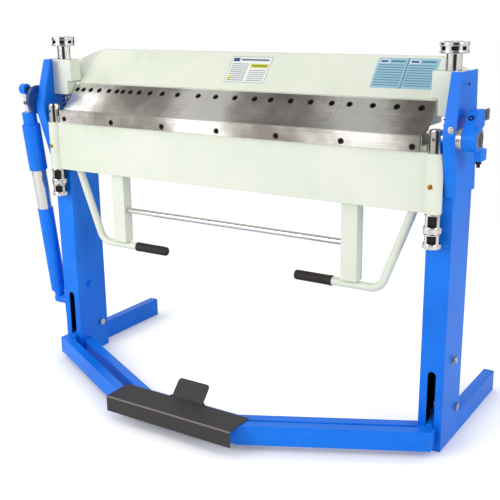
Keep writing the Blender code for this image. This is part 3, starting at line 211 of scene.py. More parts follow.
def surface(tree, settings, bump=None):
    """The shader and its output; settings are the shader's own sockets."""
    shader = add(tree, "ShaderNodeBsdfPrincipled", settings)
    if bump is not None:
        tree.links.new(bump, shader.inputs["Normal"])
    add(tree, "ShaderNodeOutputMaterial", {"Surface": shader.outputs[0]})


# Studio floor: matt white vinyl sheet. It reads as white to the camera and keeps the soft shadow.
floor_white, tree = finish_named("matt_vinyl_floor")
grain = add(tree, "ShaderNodeTexNoise", {"Vector": add(tree, "ShaderNodeTexCoord").outputs["Object"],
                                         "Scale": 220.0, "Detail": 3.0})
tone = ramp(tree, grain.outputs["Fac"], [(0.3, "#f0f0f0"), (0.7, "#f4f4f4")])
rays = add(tree, "ShaderNodeLightPath")
# Painted contact shadow: ambient occlusion dims the floor's camera-only glow near and under the machine.
contact = add(tree, "ShaderNodeAmbientOcclusion", {"Distance": 0.11}, samples=8)
under = add(tree, "ShaderNodeMapRange", {0: contact.outputs["AO"], 1: 0.45, 2: 0.98, 3: 0.10, 4: 0.40})
seen = add(tree, "ShaderNodeMath", {0: rays.outputs["Is Camera Ray"], 1: under.outputs[0]},
           operation="MULTIPLY")
surface(tree, {"Base Color": tone, "Roughness": 0.9, "Specular IOR Level": 0.1,
               "Emission Color": shade("#ffffff"), "Emission Strength": seen.outputs[0]})
FLOOR_REACH = 3.4


def mesh_of(bm, name, *finishes):
    """The mesh of a finished shape, with its finishes in order."""
    mesh = bpy.data.meshes.new(name)
    bm.to_mesh(mesh)
    bm.free()
    for one in finishes:
        mesh.materials.append(one)
    return mesh


bm = bmesh.new()
bmesh.ops.create_grid(bm, x_segments=8, y_segments=8, size=FLOOR_REACH)
studio_floor = linked("studio_floor", mesh_of(bm, "studio_floor", floor_white))
studio_floor.location.z = -0.0005

# Columns, rear feet, floor frame, heads and strut bracket: rectangular tube and plate, welded and
# powder coated in blue. The tube has rounded corners and the flame-cut plates a slight edge.
TUBE_CORNER = 0.0035
PLATE_EDGE = 0.0012


def painted(name, drift, stops, grain, relief, rough, shine):
    """A paint: its tone drifts over a hand's width, and a fine grain ripples its surface."""
    made, tree = finish_named(name)
    coords = add(tree, "ShaderNodeTexCoord").outputs["Object"]
    cloud = add(tree, "ShaderNodeTexNoise", {"Vector": coords, "Scale": drift[0], "Detail": drift[1],
                                             "Roughness": drift[2]})
    skin = add(tree, "ShaderNodeTexNoise", {"Vector": coords, "Scale": grain, "Detail": 2.0})
    worn = add(tree, "ShaderNodeMapRange", {0: cloud.outputs["Fac"], 1: 0.3, 2: 0.7, 3: rough[0], 4: rough[1]})
    ripple = add(tree, "ShaderNodeBump", {"Height": skin.outputs["Fac"], "Strength": relief,
                                          "Distance": 0.0006})
    surface(tree, {"Base Color": ramp(tree, cloud.outputs["Fac"], stops), "Roughness": worn.outputs[0],
                   "Specular IOR Level": shine}, ripple.outputs[0])
    return made


# Powder-coated steel: dust melted in an oven, so it is even, satin and faintly rippled, like orange
# skin about 2 mm across. It is a little deeper where the coat pooled and greyer where hands touch.
blue_coat = painted("blue_powder_coat", (7.0, 4.0, 0.6),
                    [(0.30, "#046fe4"), (0.52, "#0878ee"), (0.72, "#1080f3")], 430.0, 0.10, (0.30, 0.42), 0.26)

# How edges are eased: corners nearer than the gap are one, an edge with less room than the shortest
# stays sharp, and a rounding takes at most its share of the room. A lined wall is larger than so
# many square metres and lies deeper than the skin.
WELD_GAP = 0.00002
SHORTEST_EASED = 0.0015
ROOM_SHARE = 0.42
SIDEWAYS = 0.9
SEEN_WALL = 0.004
SKIN_DEPTH = 0.001


def baked(piece):
    """The plain mesh of a piece with its modifiers applied."""
    return bpy.data.meshes.new_from_object(piece.evaluated_get(bpy.context.evaluated_depsgraph_get()))


def eased(node, ease, finish, cutter=None, scope=30.0, merge=WELD_GAP, lining=None):
    """A copy of a solid with its outer edges rounded off; it stands for the solid."""
    source = frame["nodes"][node]
    bm = bmesh.new()
    bm.from_mesh(source.data)
    bmesh.ops.remove_doubles(bm, verts=bm.verts, dist=merge)
    if cutter is not None:
        plain = bpy.data.meshes.new("uncut")
        bm.to_mesh(plain)
        holder = linked("uncut", plain)
        drill = holder.modifiers.new("drill", "BOOLEAN")
        drill.object = cutter
        drill.solver = "EXACT"
        drilled = baked(holder)
        bm.clear()
        bm.from_mesh(drilled)
        bmesh.ops.remove_doubles(bm, verts=bm.verts, dist=WELD_GAP)
        bpy.data.objects.remove(holder)
    bmesh.ops.dissolve_limit(bm, angle_limit=math.radians(1.0), verts=bm.verts, edges=bm.edges)
    share = bm.edges.layers.float.new("bevel_weight_edge")
    for edge in bm.edges:
        if len(edge.link_faces) != 2:
            continue
        bend = math.degrees(edge.calc_face_angle_signed(0.0))
        if abs(bend) < scope:
            continue
        if bend < 0:
            edge.smooth = False
            continue
        run = (edge.verts[1].co - edge.verts[0].co).normalized()
        room = min(max((v.co - edge.verts[0].co).cross(run).length for v in face.verts)
                   for face in edge.link_faces)
        for beside in {e for v in edge.verts for e in v.link_edges} - {edge}:
            lean = abs(run.dot((beside.verts[1].co - beside.verts[0].co).normalized()))
            if lean < SIDEWAYS:
                room = min(room, beside.calc_length())
        if room < SHORTEST_EASED:
            edge.smooth = False
            continue
        edge[share] = min(1.0, ROOM_SHARE * room / ease)
    low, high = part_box(node)
    for face in bm.faces:
        face.smooth = True
        middle = face.calc_center_median()
        face.material_index = 0
        if lining is not None and abs(face.normal.z) < 0.3 and face.calc_area() > SEEN_WALL:
            rim = min(middle.x - low.x, high.x - middle.x, middle.y - low.y, high.y - middle.y)
            face.material_index = int(rim > SKIN_DEPTH)
    finishes = [finish] if lining is None else [finish, lining]
    settled(bm, node + "_finished", finishes, source["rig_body"], ease, [node])


SAME_SIDE = math.cos(math.radians(38))


def evened(mesh):
    """Shading that keeps flat faces flat right up to their rounded edges."""
    around = {}
    for face in mesh.polygons:
        for corner in face.vertices:
            around.setdefault(corner, []).append((face.normal.copy(), face.area))
    ways = []
    for face in mesh.polygons:
        for corner in face.vertices:
            near = [(way, area) for way, area in around[corner] if way.dot(face.normal) > SAME_SIDE]
            widest = max((area for way, area in near), default=1.0) or 1.0
            total = sum((way * (area / widest) ** 2 for way, area in near), Vector())
            ways.append(total.normalized() if total.length > 0 else face.normal.copy())
    mesh.normals_split_custom_set(ways)


def settled(bm, name, finish, body, ease=0.0, stands_for=()):
    """Makes the piece of a finished shape, rounds its marked edges and sets it on its body."""
    finishes = finish if isinstance(finish, (list, tuple)) else [finish]
    piece = linked(name, mesh_of(bm, name, *finishes))
    if ease:
        bevel = piece.modifiers.new("edge", "BEVEL")
        bevel.limit_method = "WEIGHT"
        bevel.width = ease
        bevel.segments = 2 if ease < 0.002 else 3
        bevel.use_clamp_overlap = False
        rounded = baked(piece)
        piece.modifiers.clear()
        piece.data = rounded
    evened(piece.data)
    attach(piece, body)
    if stands_for:
        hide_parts(*stands_for)


def body_of(node):
    """The body that a solid of the frame rides on."""
    return frame["nodes"][node]["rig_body"]


def mottled(name, scale, detail, stops, shader, relief=None):
    """A finish whose tone, and roughness where two are given, follow one noise; relief adds bump."""
    made, tree = finish_named(name)
    coords = add(tree, "ShaderNodeTexCoord").outputs["Object"]
    noise = add(tree, "ShaderNodeTexNoise", {"Vector": coords, "Scale": scale, "Detail": detail})
    spots = noise.outputs["Fac"]
    settings = {"Base Color": ramp(tree, spots, stops), **shader}
    if isinstance(shader["Roughness"], tuple):
        fine, coarse = shader["Roughness"]
        dull = add(tree, "ShaderNodeMapRange", {0: spots, 1: 0.3, 2: 0.7, 3: fine, 4: coarse})
        settings["Roughness"] = dull.outputs[0]
    bump = None
    if relief is not None:
        lumps = add(tree, "ShaderNodeBump", {"Height": spots, "Strength": relief[0], "Distance": relief[1]})
        bump = lumps.outputs[0]
    surface(tree, settings, bump)
    return made


# Inside, the tube is bare steel the dust never reached; it is near black as painted shade of the tube's inside.
inner_wall_shade = mottled("bare_inner_steel_painted_shade", 90.0, 4.0, [(0.35, "#10131c"), (0.7, "#1c2130")],
                    {"Roughness": 0.6, "Specular IOR Level": 0.3})

for side in ("left", "right"):
    eased("column_" + side, TUBE_CORNER, blue_coat, lining=inner_wall_shade)
    eased("rear_foot_" + side, TUBE_CORNER, blue_coat)
    eased("head_" + side, PLATE_EDGE, blue_coat)
eased("floor_frame", TUBE_CORNER, blue_coat)
eased("strut_bracket", PLATE_EDGE, blue_coat)

# Rod guides and treadle pins: black oxidised steel blocks inside the columns, and zinc-plated
# pivot bolts through the columns' feet.
GUIDE_EDGE = 0.0010
TURNED_EDGE = 0.0008
# Oiled black oxide: nearly black, a low sheen, fine machining marks about 1 mm apart.
black_oxide = mottled("black_oxide_steel", 900.0, 2.0, [(0.35, "#121110"), (0.7, "#242120")],
                      {"Roughness": 0.42, "Metallic": 0.6}, (0.15, 0.0003))
# Bright zinc: pale bluish metal, slightly cloudy from the bath.
zinc_plate = mottled("bright_zinc_plate", 240.0, 3.0, [(0.3, "#aeb2b6"), (0.7, "#cfd2d4")],
                     {"Roughness": (0.22, 0.36), "Metallic": 1.0})
for side in ("left", "right"):
    eased("rod_guide_" + side, GUIDE_EDGE, black_oxide)
    eased("treadle_pin_" + side, TURNED_EDGE, zinc_plate)

# Bed, clamping beam, guide blocks and swinging leaf: steel plate, folded and welded, sprayed with
# pale grey-green enamel. The guide blocks are solid, with softly broken edges.
FOLD_EDGE = 0.0022
BLOCK_EDGE = 0.0030
SHEET_SCOPE = 4.0
SHEET_MERGE = 0.0014

# Two-pack enamel on steel: pale, warm at the top of the tone, smooth and fairly glossy, with a
# fine ripple about 3 mm across and faint grey handling marks.
cream_enamel = painted("pale_green_enamel", (5.0, 5.0, 0.55),
                       [(0.28, "#dde3d3"), (0.5, "#e3e8d9"), (0.74, "#e9eddf")],
                       320.0, 0.09, (0.26, 0.38), 0.35)

eased("bed_beam", FOLD_EDGE, cream_enamel)
eased("beam_sheet", PLATE_EDGE, cream_enamel, scope=SHEET_SCOPE, merge=SHEET_MERGE)
eased("leaf", FOLD_EDGE, cream_enamel)
for side in ("left", "right"):
    eased("guide_block_" + side, BLOCK_EDGE, cream_enamel)
eased("beam_bar", PLATE_EDGE, cream_enamel)

# Fingers, leaf bar and bed bar: hardened tool steel, surface ground lengthwise. Each finger is
# held from its sloping face by black socket screws sunk in counterbores.
FINGER_EDGE = 0.00018
BORE_RADIUS = 0.0096
BORE_DEPTH = 0.0065
SCREW_UP = 0.0625
HEAD_RADIUS = 0.0083
HEAD_SUNK = 0.0012
# Where the screws sit across a finger, by its width in millimetres; a narrow one has one, midway.
MIDWAY = (0.5,)
SCREW_SHARES = {50: (0.25, 0.75), 75: (0.253, 0.747), 100: (0.25, 0.75), 150: (0.233, 0.767),
                200: (0.15, 0.5, 0.85), 250: (0.1, 0.368, 0.632, 0.9), 270: (0.111, 0.37, 0.63, 0.889)}
LEAF_SCREW_PITCH = 0.205
LEAF_SCREW_DROP = 0.028
LEAF_BORE_RADIUS = 0.0091
LEAF_BORE_DEPTH = 0.0052
LEAF_HEAD_RADIUS = 0.0080
LEAF_HEAD_TALL = 0.0042
# Painted reflection bands on the ground bars: how often they repeat, where they start and how strong they are.
REFLECTION_BAND_RATE = 12.32
REFLECTION_BAND_START = 0.84
REFLECTION_BAND_DEPTH = 0.24

# Ground tool steel: grey, a touch brown, with straight wheel lines along the part (drawn 1.5 mm
# apart, since the real 0.05 mm ones can't show), cloudy where oil was wiped off.
ground_steel, tree = finish_named("ground_tool_steel")
coords = add(tree, "ShaderNodeTexCoord").outputs["Object"]
along = add(tree, "ShaderNodeMapping", {"Vector": coords, "Scale": (2.5, 650.0, 650.0)})
lines = add(tree, "ShaderNodeTexNoise", {"Vector": along.outputs[0], "Scale": 1.0, "Detail": 3.0})
wiped = add(tree, "ShaderNodeTexNoise", {"Vector": coords, "Scale": 6.0, "Detail": 4.0, "Roughness": 0.6})
both = add(tree, "ShaderNodeMix", {0: 0.78, 2: lines.outputs["Fac"], 3: wiped.outputs["Fac"]},
           data_type="FLOAT")
# Broad lighter and darker bands, one every half metre along the bars, are painted reflections of the studio.
place = add(tree, "ShaderNodeSeparateXYZ", {0: coords})
reflection_run = add(tree, "ShaderNodeMath", {0: place.outputs["X"], 1: REFLECTION_BAND_RATE, 2: REFLECTION_BAND_START},
               operation="MULTIPLY_ADD")
reflection_bands = add(tree, "ShaderNodeMath", {0: reflection_run.outputs[0]}, operation="COSINE")
grain_and_reflection = add(tree, "ShaderNodeMath", {0: reflection_bands.outputs[0], 1: REFLECTION_BAND_DEPTH, 2: both.outputs[0]},
            operation="MULTIPLY_ADD")
tone = ramp(tree, grain_and_reflection.outputs[0], [(0.30, "#857f79"), (0.5, "#aeaaa3"), (0.70, "#eae7e1")])
dull = add(tree, "ShaderNodeMapRange", {0: both.outputs[0], 1: 0.3, 2: 0.7, 3: 0.26, 4: 0.40})
scratch = add(tree, "ShaderNodeBump", {"Height": lines.outputs["Fac"], "Strength": 0.05, "Distance": 0.0004})
surface(tree, {"Base Color": tone, "Roughness": dull.outputs[0], "Metallic": 0.92}, scratch.outputs[0])


def softened(profile, radius):
    """A profile with its corners rounded by short arcs."""
    made = [profile[0]]
    for before, here, after in zip(profile, profile[1:], profile[2:]):
        before, here, after = Vector(before), Vector(here), Vector(after)
        start = here + (before - here).normalized() * min(radius, (before - here).length * 0.45)
        end = here + (after - here).normalized() * min(radius, (after - here).length * 0.45)
        made += [tuple(start), tuple((start + 2 * here + end) / 4), tuple(end)]
    return made + [profile[-1]]


# Sides of a turned piece, by its size.
LARGE_TURN, FULL_TURN, EVEN_TURN, SMALL_TURN, DRILL_TURN, SCREW_TURN = 96, 72, 64, 48, 32, 24


def spun(profile, start, along, count=EVEN_TURN, rule=None):
    """A turned shape about an axis, closed at its poles; rule gives a radius that changes round it."""
    bm = bmesh.new()
    along = Vector(along).normalized()
    out = Vector((1, 0, 0)) if abs(along.x) < 0.9 else Vector((0, 0, 1))
    over = along.cross(out).normalized()
    out = over.cross(along)
    rings = []
    for radius, far in profile:
        middle = Vector(start) + along * far
        if radius == 0:
            rings.append([bm.verts.new(middle)])
            continue
        ring = []
        for k in range(count):
            a = 2 * math.pi * k / count
            r = rule(radius, far, a) if rule else radius
            ring.append(bm.verts.new(middle + (out * math.cos(a) + over * math.sin(a)) * r))
        rings.append(ring)
    for low, high in zip(rings, rings[1:]):
        for k in range(count):
            m = (k + 1) % count
            corners = (low[k % len(low)], low[m % len(low)], high[m % len(high)], high[k % len(high)])
            bm.faces.new([v for i, v in enumerate(corners) if v not in corners[:i]])
    for face in bm.faces:
        face.smooth = True
    bmesh.ops.recalc_face_normals(bm, faces=bm.faces)
    return bm


def drills(places, along, radius, depth):
    """Disjoint round cutters sunk below a face; an object to cut with, removed after use."""
    mesh = bpy.data.meshes.new("drills")
    for place in places:
        one = spun(((0, -depth), (radius, -depth), (radius, depth), (0, depth)), place, along, DRILL_TURN)
        one.from_mesh(mesh)
        one.to_mesh(mesh)
        one.free()
    made = linked("drills", mesh)
    made.hide_render = True
    return made


# The rows of screws: one template head is set at each place, turned on its axis at random as a
# fitter leaves it, and made a plain mesh for its body.
screw_tree = bpy.data.node_groups.new("screw_rows", "GeometryNodeTree")
panel = screw_tree.interface
for title, kind in (("Geometry", "Geometry"), ("Head", "Object"), ("Axis", "Vector"), ("Seed", "Int"),
                    ("Finish", "Material")):
    panel.new_socket(title, in_out="INPUT", socket_type="NodeSocket" + kind)
panel.new_socket("Geometry", in_out="OUTPUT", socket_type="NodeSocketGeometry")
given = add(screw_tree, "NodeGroupInput")
head_shape = add(screw_tree, "GeometryNodeObjectInfo", {"Object": given.outputs["Head"]})
chance = add(screw_tree, "FunctionNodeRandomValue", {"Seed": given.outputs["Seed"]}, data_type="FLOAT")
chance.inputs[3].default_value = 2 * math.pi
spin = add(screw_tree, "FunctionNodeAxisAngleToRotation", {"Axis": (0, 0, 1), "Angle": chance.outputs[1]})
aim = add(screw_tree, "FunctionNodeAlignRotationToVector", {"Vector": given.outputs["Axis"]}, axis="Z")
facing = add(screw_tree, "FunctionNodeRotateRotation", {"Rotation": aim.outputs[0],
                                                        "Rotate By": spin.outputs[0]}, rotation_space="LOCAL")
placed = add(screw_tree, "GeometryNodeInstanceOnPoints", {"Points": given.outputs["Geometry"],
                                                          "Instance": head_shape.outputs["Geometry"],
                                                          "Rotation": facing.outputs[0]})
real = add(screw_tree, "GeometryNodeRealizeInstances", {"Geometry": placed.outputs[0]})
dressed = add(screw_tree, "GeometryNodeSetMaterial", {"Geometry": real.outputs[0],
                                                      "Material": given.outputs["Finish"]})
add(screw_tree, "NodeGroupOutput", {"Geometry": dressed.outputs[0]})


def screw_row(name, profile, places, along, finish, body, seed, rule=None):
    """A row of equal screw heads, one piece for its body."""
    bm = spun(profile, (0, 0, 0), (0, 0, 1), SCREW_TURN, rule)
    head = bpy.data.objects.new("head_template", mesh_of(bm, "head_template"))
    cloud = bpy.data.meshes.new(name)
    cloud.from_pydata([tuple(p) for p in places], [], [])
    row = linked(name, cloud)
    nodes = row.modifiers.new("rows", "NODES")
    nodes.node_group = screw_tree
    sockets = {s.name: s.identifier for s in screw_tree.interface.items_tree if s.in_out == "INPUT"}
    nodes[sockets["Head"]] = head
    nodes[sockets["Axis"]] = tuple(along)
    nodes[sockets["Seed"]] = seed
    nodes[sockets["Finish"]] = finish
    bpy.context.view_layer.update()
    made = baked(row)
    row.modifiers.clear()
    row.data = made
    bpy.data.objects.remove(head)
    evened(row.data)
    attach(row, body)


def hexagon(flats, wanted):
    """Radius rule: rings of one wanted radius become a hexagon of that width across flats."""
    def rule(radius, far, a):
        if abs(radius - wanted) > 1e-6:
            return radius
        return flats / 2 / math.cos(a % (math.pi / 3) - math.pi / 6)
    return rule


def socket_head(radius, tall):
    """Profile of a cap screw head with its hexagon socket."""
    outer = softened([(0, 0), (radius, 0), (radius, tall), (radius * 0.52, tall)], radius * 0.09)
    return outer + [(radius * 0.50, tall - radius * 0.06), (radius * 0.50, tall - radius * 0.5),
                    (0, tall - radius * 0.55)]


def socket_screws(name, radius, tall, places, along, body, seed):
    """Black socket screws of one size on one body, turned at random."""
    screw_row(name, socket_head(radius, tall), places, along, black_oxide, body, seed,
              hexagon(radius * 0.92, radius * 0.50))


slope = Vector((0, -1, 1)).normalized()
finger_places = []
for number in range(1, 13):
    node = "finger_%02d" % number
    low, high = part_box(node)
    width = round((high.x - low.x) * 1000 / 5) * 5
    shares = SCREW_SHARES.get(width, MIDWAY)
    places = [Vector((low.x + (high.x - low.x) * s, low.y + SCREW_UP, low.z + SCREW_UP)) for s in shares]
    finger_places += places
    cutter = drills(places, slope, BORE_RADIUS, BORE_DEPTH)
    eased(node, FINGER_EDGE, ground_steel, cutter)
    bpy.data.objects.remove(cutter)
socket_screws("finger_screws", HEAD_RADIUS, BORE_DEPTH - HEAD_SUNK,
              [p - slope * BORE_DEPTH for p in finger_places], slope, "clamp", 3)

low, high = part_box("leaf_bar")
leaf_places = [Vector((origin.x + k * LEAF_SCREW_PITCH, low.y, high.z - LEAF_SCREW_DROP))
               for k in range(-3, 4)]
cutter = drills(leaf_places, (0, -1, 0), LEAF_BORE_RADIUS, LEAF_BORE_DEPTH)
eased("leaf_bar", FINGER_EDGE, ground_steel, cutter)
bpy.data.objects.remove(cutter)
socket_screws("leaf_bar_screws", LEAF_HEAD_RADIUS, LEAF_HEAD_TALL,
              [p + Vector((0, LEAF_BORE_DEPTH, 0)) for p in leaf_places], (0, -1, 0), body_of("leaf_bar"), 5)
eased("bed_bar", FINGER_EDGE, ground_steel)

# Bolts on the columns and heads: zinc-plated hexagon bolts with washers hold the rod guides, and
# the ones inside the frame were painted over. A small dark screw sits in each cheek.
BOLT_FLATS = 0.0210
GUIDE_BOLT_UP = 0.2590
OUTER_BOLT_BACK = 0.0700
INNER_BOLT_BACK = 0.0590
FLANGE_BOLT_FLATS = 0.0125
FLANGE_BOLT_OUT = 0.7195
FLANGE_BOLT_UP = 0.9200
CHEEK_RADIUS = 0.0052
CHEEK_TALL = 0.0012
CHEEK_BACK = 0.0288
CHEEK_UP = 1.0286
# How far small heads are let into their seats, so that no gap shows under them.
BURIED = 0.0003
SEATED = 0.0004
bolt_corner = BOLT_FLATS / 2 / math.cos(math.pi / 6)
bolt_shape = [(0, -0.0010), (0.0150, -0.0010), (0.0150, 0.0018), (bolt_corner, 0.0020),
              (bolt_corner, 0.0088), (bolt_corner * 0.84, 0.0100), (0, 0.0102)]
column_low, column_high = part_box("column_right")
frame_body = body_of("column_right")
out_x = column_high.x - origin.x
in_x = column_low.x - origin.x
for name, x, y, way_out, finish, slot in (
        ("guide_bolt_right", out_x, OUTER_BOLT_BACK, 1, zinc_plate, "chrome_plate"),
        ("guide_bolt_left_outer", -out_x, OUTER_BOLT_BACK, -1, zinc_plate, "chrome_plate"),
        ("guide_bolt_left", -in_x, INNER_BOLT_BACK, 1, blue_coat, "blue_paint"),
        ("guide_bolt_right_inner", in_x, INNER_BOLT_BACK, -1, blue_coat, "blue_paint")):
    screw_row(name, bolt_shape, [at(x, y, GUIDE_BOLT_UP)], (way_out, 0, 0), finish, frame_body, 11,
              hexagon(BOLT_FLATS, bolt_corner))
head_low, head_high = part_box("head_right")
small_bolt = [(0, -0.0006), (0.0088, -0.0006), (0.0088, 0.0010), (0.0072, 0.0012), (0.0072, 0.0052),
              (0.0058, 0.0062), (0, 0.0064)]
screw_row("flange_bolt", small_bolt, [at(FLANGE_BOLT_OUT, head_low.y - origin.y, FLANGE_BOLT_UP)],
          (0, -1, 0), zinc_plate, frame_body, 12, hexagon(FLANGE_BOLT_FLATS, 0.0072))
cheek_x = head_high.x - origin.x - BURIED
for word, side in (("left", -1), ("right", 1)):
    socket_screws("cheek_screw_" + word, CHEEK_RADIUS, CHEEK_TALL, [at(side * cheek_x, CHEEK_BACK, CHEEK_UP)],
                  (side, 0, 0), frame_body, 13)

# Labels on the clamping beam's front sheet: printed vinyl, rolled on. They carry only bands and
# ruled lines: a white plate with a yellow patch, and a pale blue two-part chart.
WHITE_LABEL = ((-0.055, 0.0886), (1.002, 1.0755))
BLUE_LABEL = ((0.432, 0.612), (1.004, 1.081))
FILM = 0.0004
FILM_CORNER = 0.003


def field(tree, uv, left, right, low, high):
    """Mask of a rectangle on the label, in shares of its width and height."""
    parts = []
    for axis, start, end in (("X", left, right), ("Y", low, high)):
        middle = add(tree, "ShaderNodeMath", {0: uv.outputs[axis], 1: (start + end) / 2, 2: (end - start) / 2},
                     operation="COMPARE")
        parts.append(middle.outputs[0])
    return add(tree, "ShaderNodeMath", {0: parts[0], 1: parts[1]}, operation="MULTIPLY").outputs[0]


def inked(tree, base, mask, code):
    """The label's colour with one more ink printed where the mask is."""
    return add(tree, "ShaderNodeMix", {"Factor": mask, 6: base, 7: shade(code)}, data_type="RGBA").outputs[2]


def ruled(tree, uv, count, share):
    """Mask of level ruled lines."""
    run = add(tree, "ShaderNodeMath", {0: uv.outputs["Y"], 1: float(count)}, operation="MULTIPLY")
    part = add(tree, "ShaderNodeMath", {0: run.outputs[0]}, operation="FRACT")
    return add(tree, "ShaderNodeMath", {0: part.outputs[0], 1: share}, operation="LESS_THAN").outputs[0]


def faces_of(node):
    """A solid's faces, to cast rays at."""
    data = frame["nodes"][node].data
    return BVHTree.FromPolygons([v.co for v in data.vertices], [tuple(p.vertices) for p in data.polygons])


def label(name, spread, finish):
    """Thin film laid on the front sheet, with rounded corners."""
    (x_low, x_high), (z_low, z_high) = spread
    sheet = faces_of("beam_sheet")
    corners = [sheet.ray_cast(at(x, -1.0, z), Vector((0, 1, 0)))[0]
               for x, z in ((x_low, z_low), (x_high, z_low), (x_high, z_high), (x_low, z_high))]
    face_way = (corners[1] - corners[0]).cross(corners[3] - corners[0]).normalized()
    across, rise = corners[1] - corners[0], corners[3] - corners[0]
    outline = []
    for u, v, start in ((1, 0, -90), (1, 1, 0), (0, 1, 90), (0, 0, 180)):
        for k in range(5):
            a = math.radians(start + 22.5 * k)
            curl_x, curl_y = FILM_CORNER / across.length, FILM_CORNER / rise.length
            outline.append((u + (1 - 2 * u) * curl_x + math.cos(a) * curl_x,
                            v + (1 - 2 * v) * curl_y + math.sin(a) * curl_y))
    bm = bmesh.new()
    grid = bm.loops.layers.uv.new("print")
    front = [bm.verts.new(corners[0] + across * u + rise * v + face_way * FILM) for u, v in outline]
    back = [bm.verts.new(vert.co - face_way * FILM * 0.75) for vert in front]
    top = bm.faces.new(front)
    bm.faces.new(list(reversed(back)))
    for i in range(len(front)):
        j = (i + 1) % len(front)
        bm.faces.new((front[j], front[i], back[i], back[j]))
    for loop, place in zip(top.loops, outline):
        loop[grid].uv = place
    bmesh.ops.recalc_face_normals(bm, faces=bm.faces)
    settled(bm, name, finish, "clamp")


def printed(name, base, rows, share, fields):
    """Gloss-laminated vinyl; each field is a rectangle, its ink, and whether it is ruled lines."""
    made, tree = finish_named(name)
    uv = add(tree, "ShaderNodeSeparateXYZ", {0: add(tree, "ShaderNodeUVMap", uv_map="print").outputs[0]})
    lines = ruled(tree, uv, rows, share)
    colour = shade(base)
    for left, right, low, high, code, lined in fields:
        mask = field(tree, uv, left, right, low, high)
        if lined:
            mask = add(tree, "ShaderNodeMath", {0: lines, 1: mask}, operation="MULTIPLY").outputs[0]
        colour = inked(tree, colour, mask, code)
    surface(tree, {"Base Color": colour, "Roughness": 0.28, "Coat Weight": 0.3, "Coat Roughness": 0.1})
    return made


# White vinyl: white with a thin grey border, a blue block and a dark header band, ruled lines at
# the left and a yellow-green patch at the right.
label("white_label", WHITE_LABEL, printed("white_printed_vinyl", "#aab1b4", 13, 0.42, (
    (0.015, 0.985, 0.025, 0.975, "#f1f3f0", False), (0.04, 0.20, 0.80, 0.94, "#2f4f86", False),
    (0.23, 0.95, 0.81, 0.93, "#d2d7d8", False), (0.25, 0.92, 0.85, 0.90, "#4a5258", False),
    (0.05, 0.47, 0.06, 0.76, "#858c92", True), (0.52, 0.955, 0.57, 0.73, "#cdd13e", False),
    (0.56, 0.92, 0.63, 0.67, "#5f6430", False), (0.06, 0.13, 0.10, 0.26, "#cdd13e", False),
    (0.53, 0.945, 0.06, 0.53, "#999fa3", True))))

# Pale blue vinyl: two charts side by side with a thin dark division and ruled lines.
charts = []
for start in (0.03, 0.53):
    charts += [(start, start + 0.43, 0.05, 0.78, "#5a8ea8", True),
               (start, start + 0.16, 0.82, 0.95, "#dbe6ee", False),
               (start + 0.02, start + 0.14, 0.85, 0.92, "#3c5590", False),
               (start + 0.19, start + 0.42, 0.86, 0.92, "#4f7d98", False)]
charts.append((0.492, 0.508, 0.0, 1.0, "#4d6876", False))
label("blue_label", BLUE_LABEL, printed("pale_blue_printed_vinyl", "#9cc6d8", 12, 0.40, charts))

# Pivot posts, their nuts and the tie rod: turned steel, chrome plated. Grease nipples in the leaf's
# housings are brass. The nuts have slots for a hook spanner above a fluted ring.
bright_chrome, tree = finish_named("chrome_plate")
# Decorative chrome over turned steel: mirror-like, faint turning rings left under the plate.
coords = add(tree, "ShaderNodeTexCoord").outputs["Object"]
rings = add(tree, "ShaderNodeMapping", {"Vector": coords, "Scale": (60.0, 60.0, 900.0)})
turned = add(tree, "ShaderNodeTexNoise", {"Vector": rings.outputs[0], "Scale": 1.0, "Detail": 2.0})
tone = ramp(tree, turned.outputs["Fac"], [(0.3, "#d9d7d3"), (0.7, "#eae8e5")])
dull = add(tree, "ShaderNodeMapRange", {0: turned.outputs["Fac"], 1: 0.3, 2: 0.7, 3: 0.06, 4: 0.13})
rings_seen = add(tree, "ShaderNodeBump", {"Height": turned.outputs["Fac"], "Strength": 0.02,
                                          "Distance": 0.0003})
surface(tree, {"Base Color": tone, "Roughness": dull.outputs[0], "Metallic": 1.0}, rings_seen.outputs[0])
# Walls of the milled slots: near black and rough, painted shade for the deep slots.
slot_wall_shade = mottled("slot_painted_shade", 500.0, 2.0, [(0.35, "#1b1817"), (0.7, "#35302d")],
                    {"Roughness": 0.55, "Metallic": 0.5})


def axis_of(node):
    """The foot of an upright turned solid's axis, its radius and its height."""
    low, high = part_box(node)
    return Vector(((low.x + high.x) / 2, (low.y + high.y) / 2, low.z)), (high.x - low.x) / 2, high.z - low.z


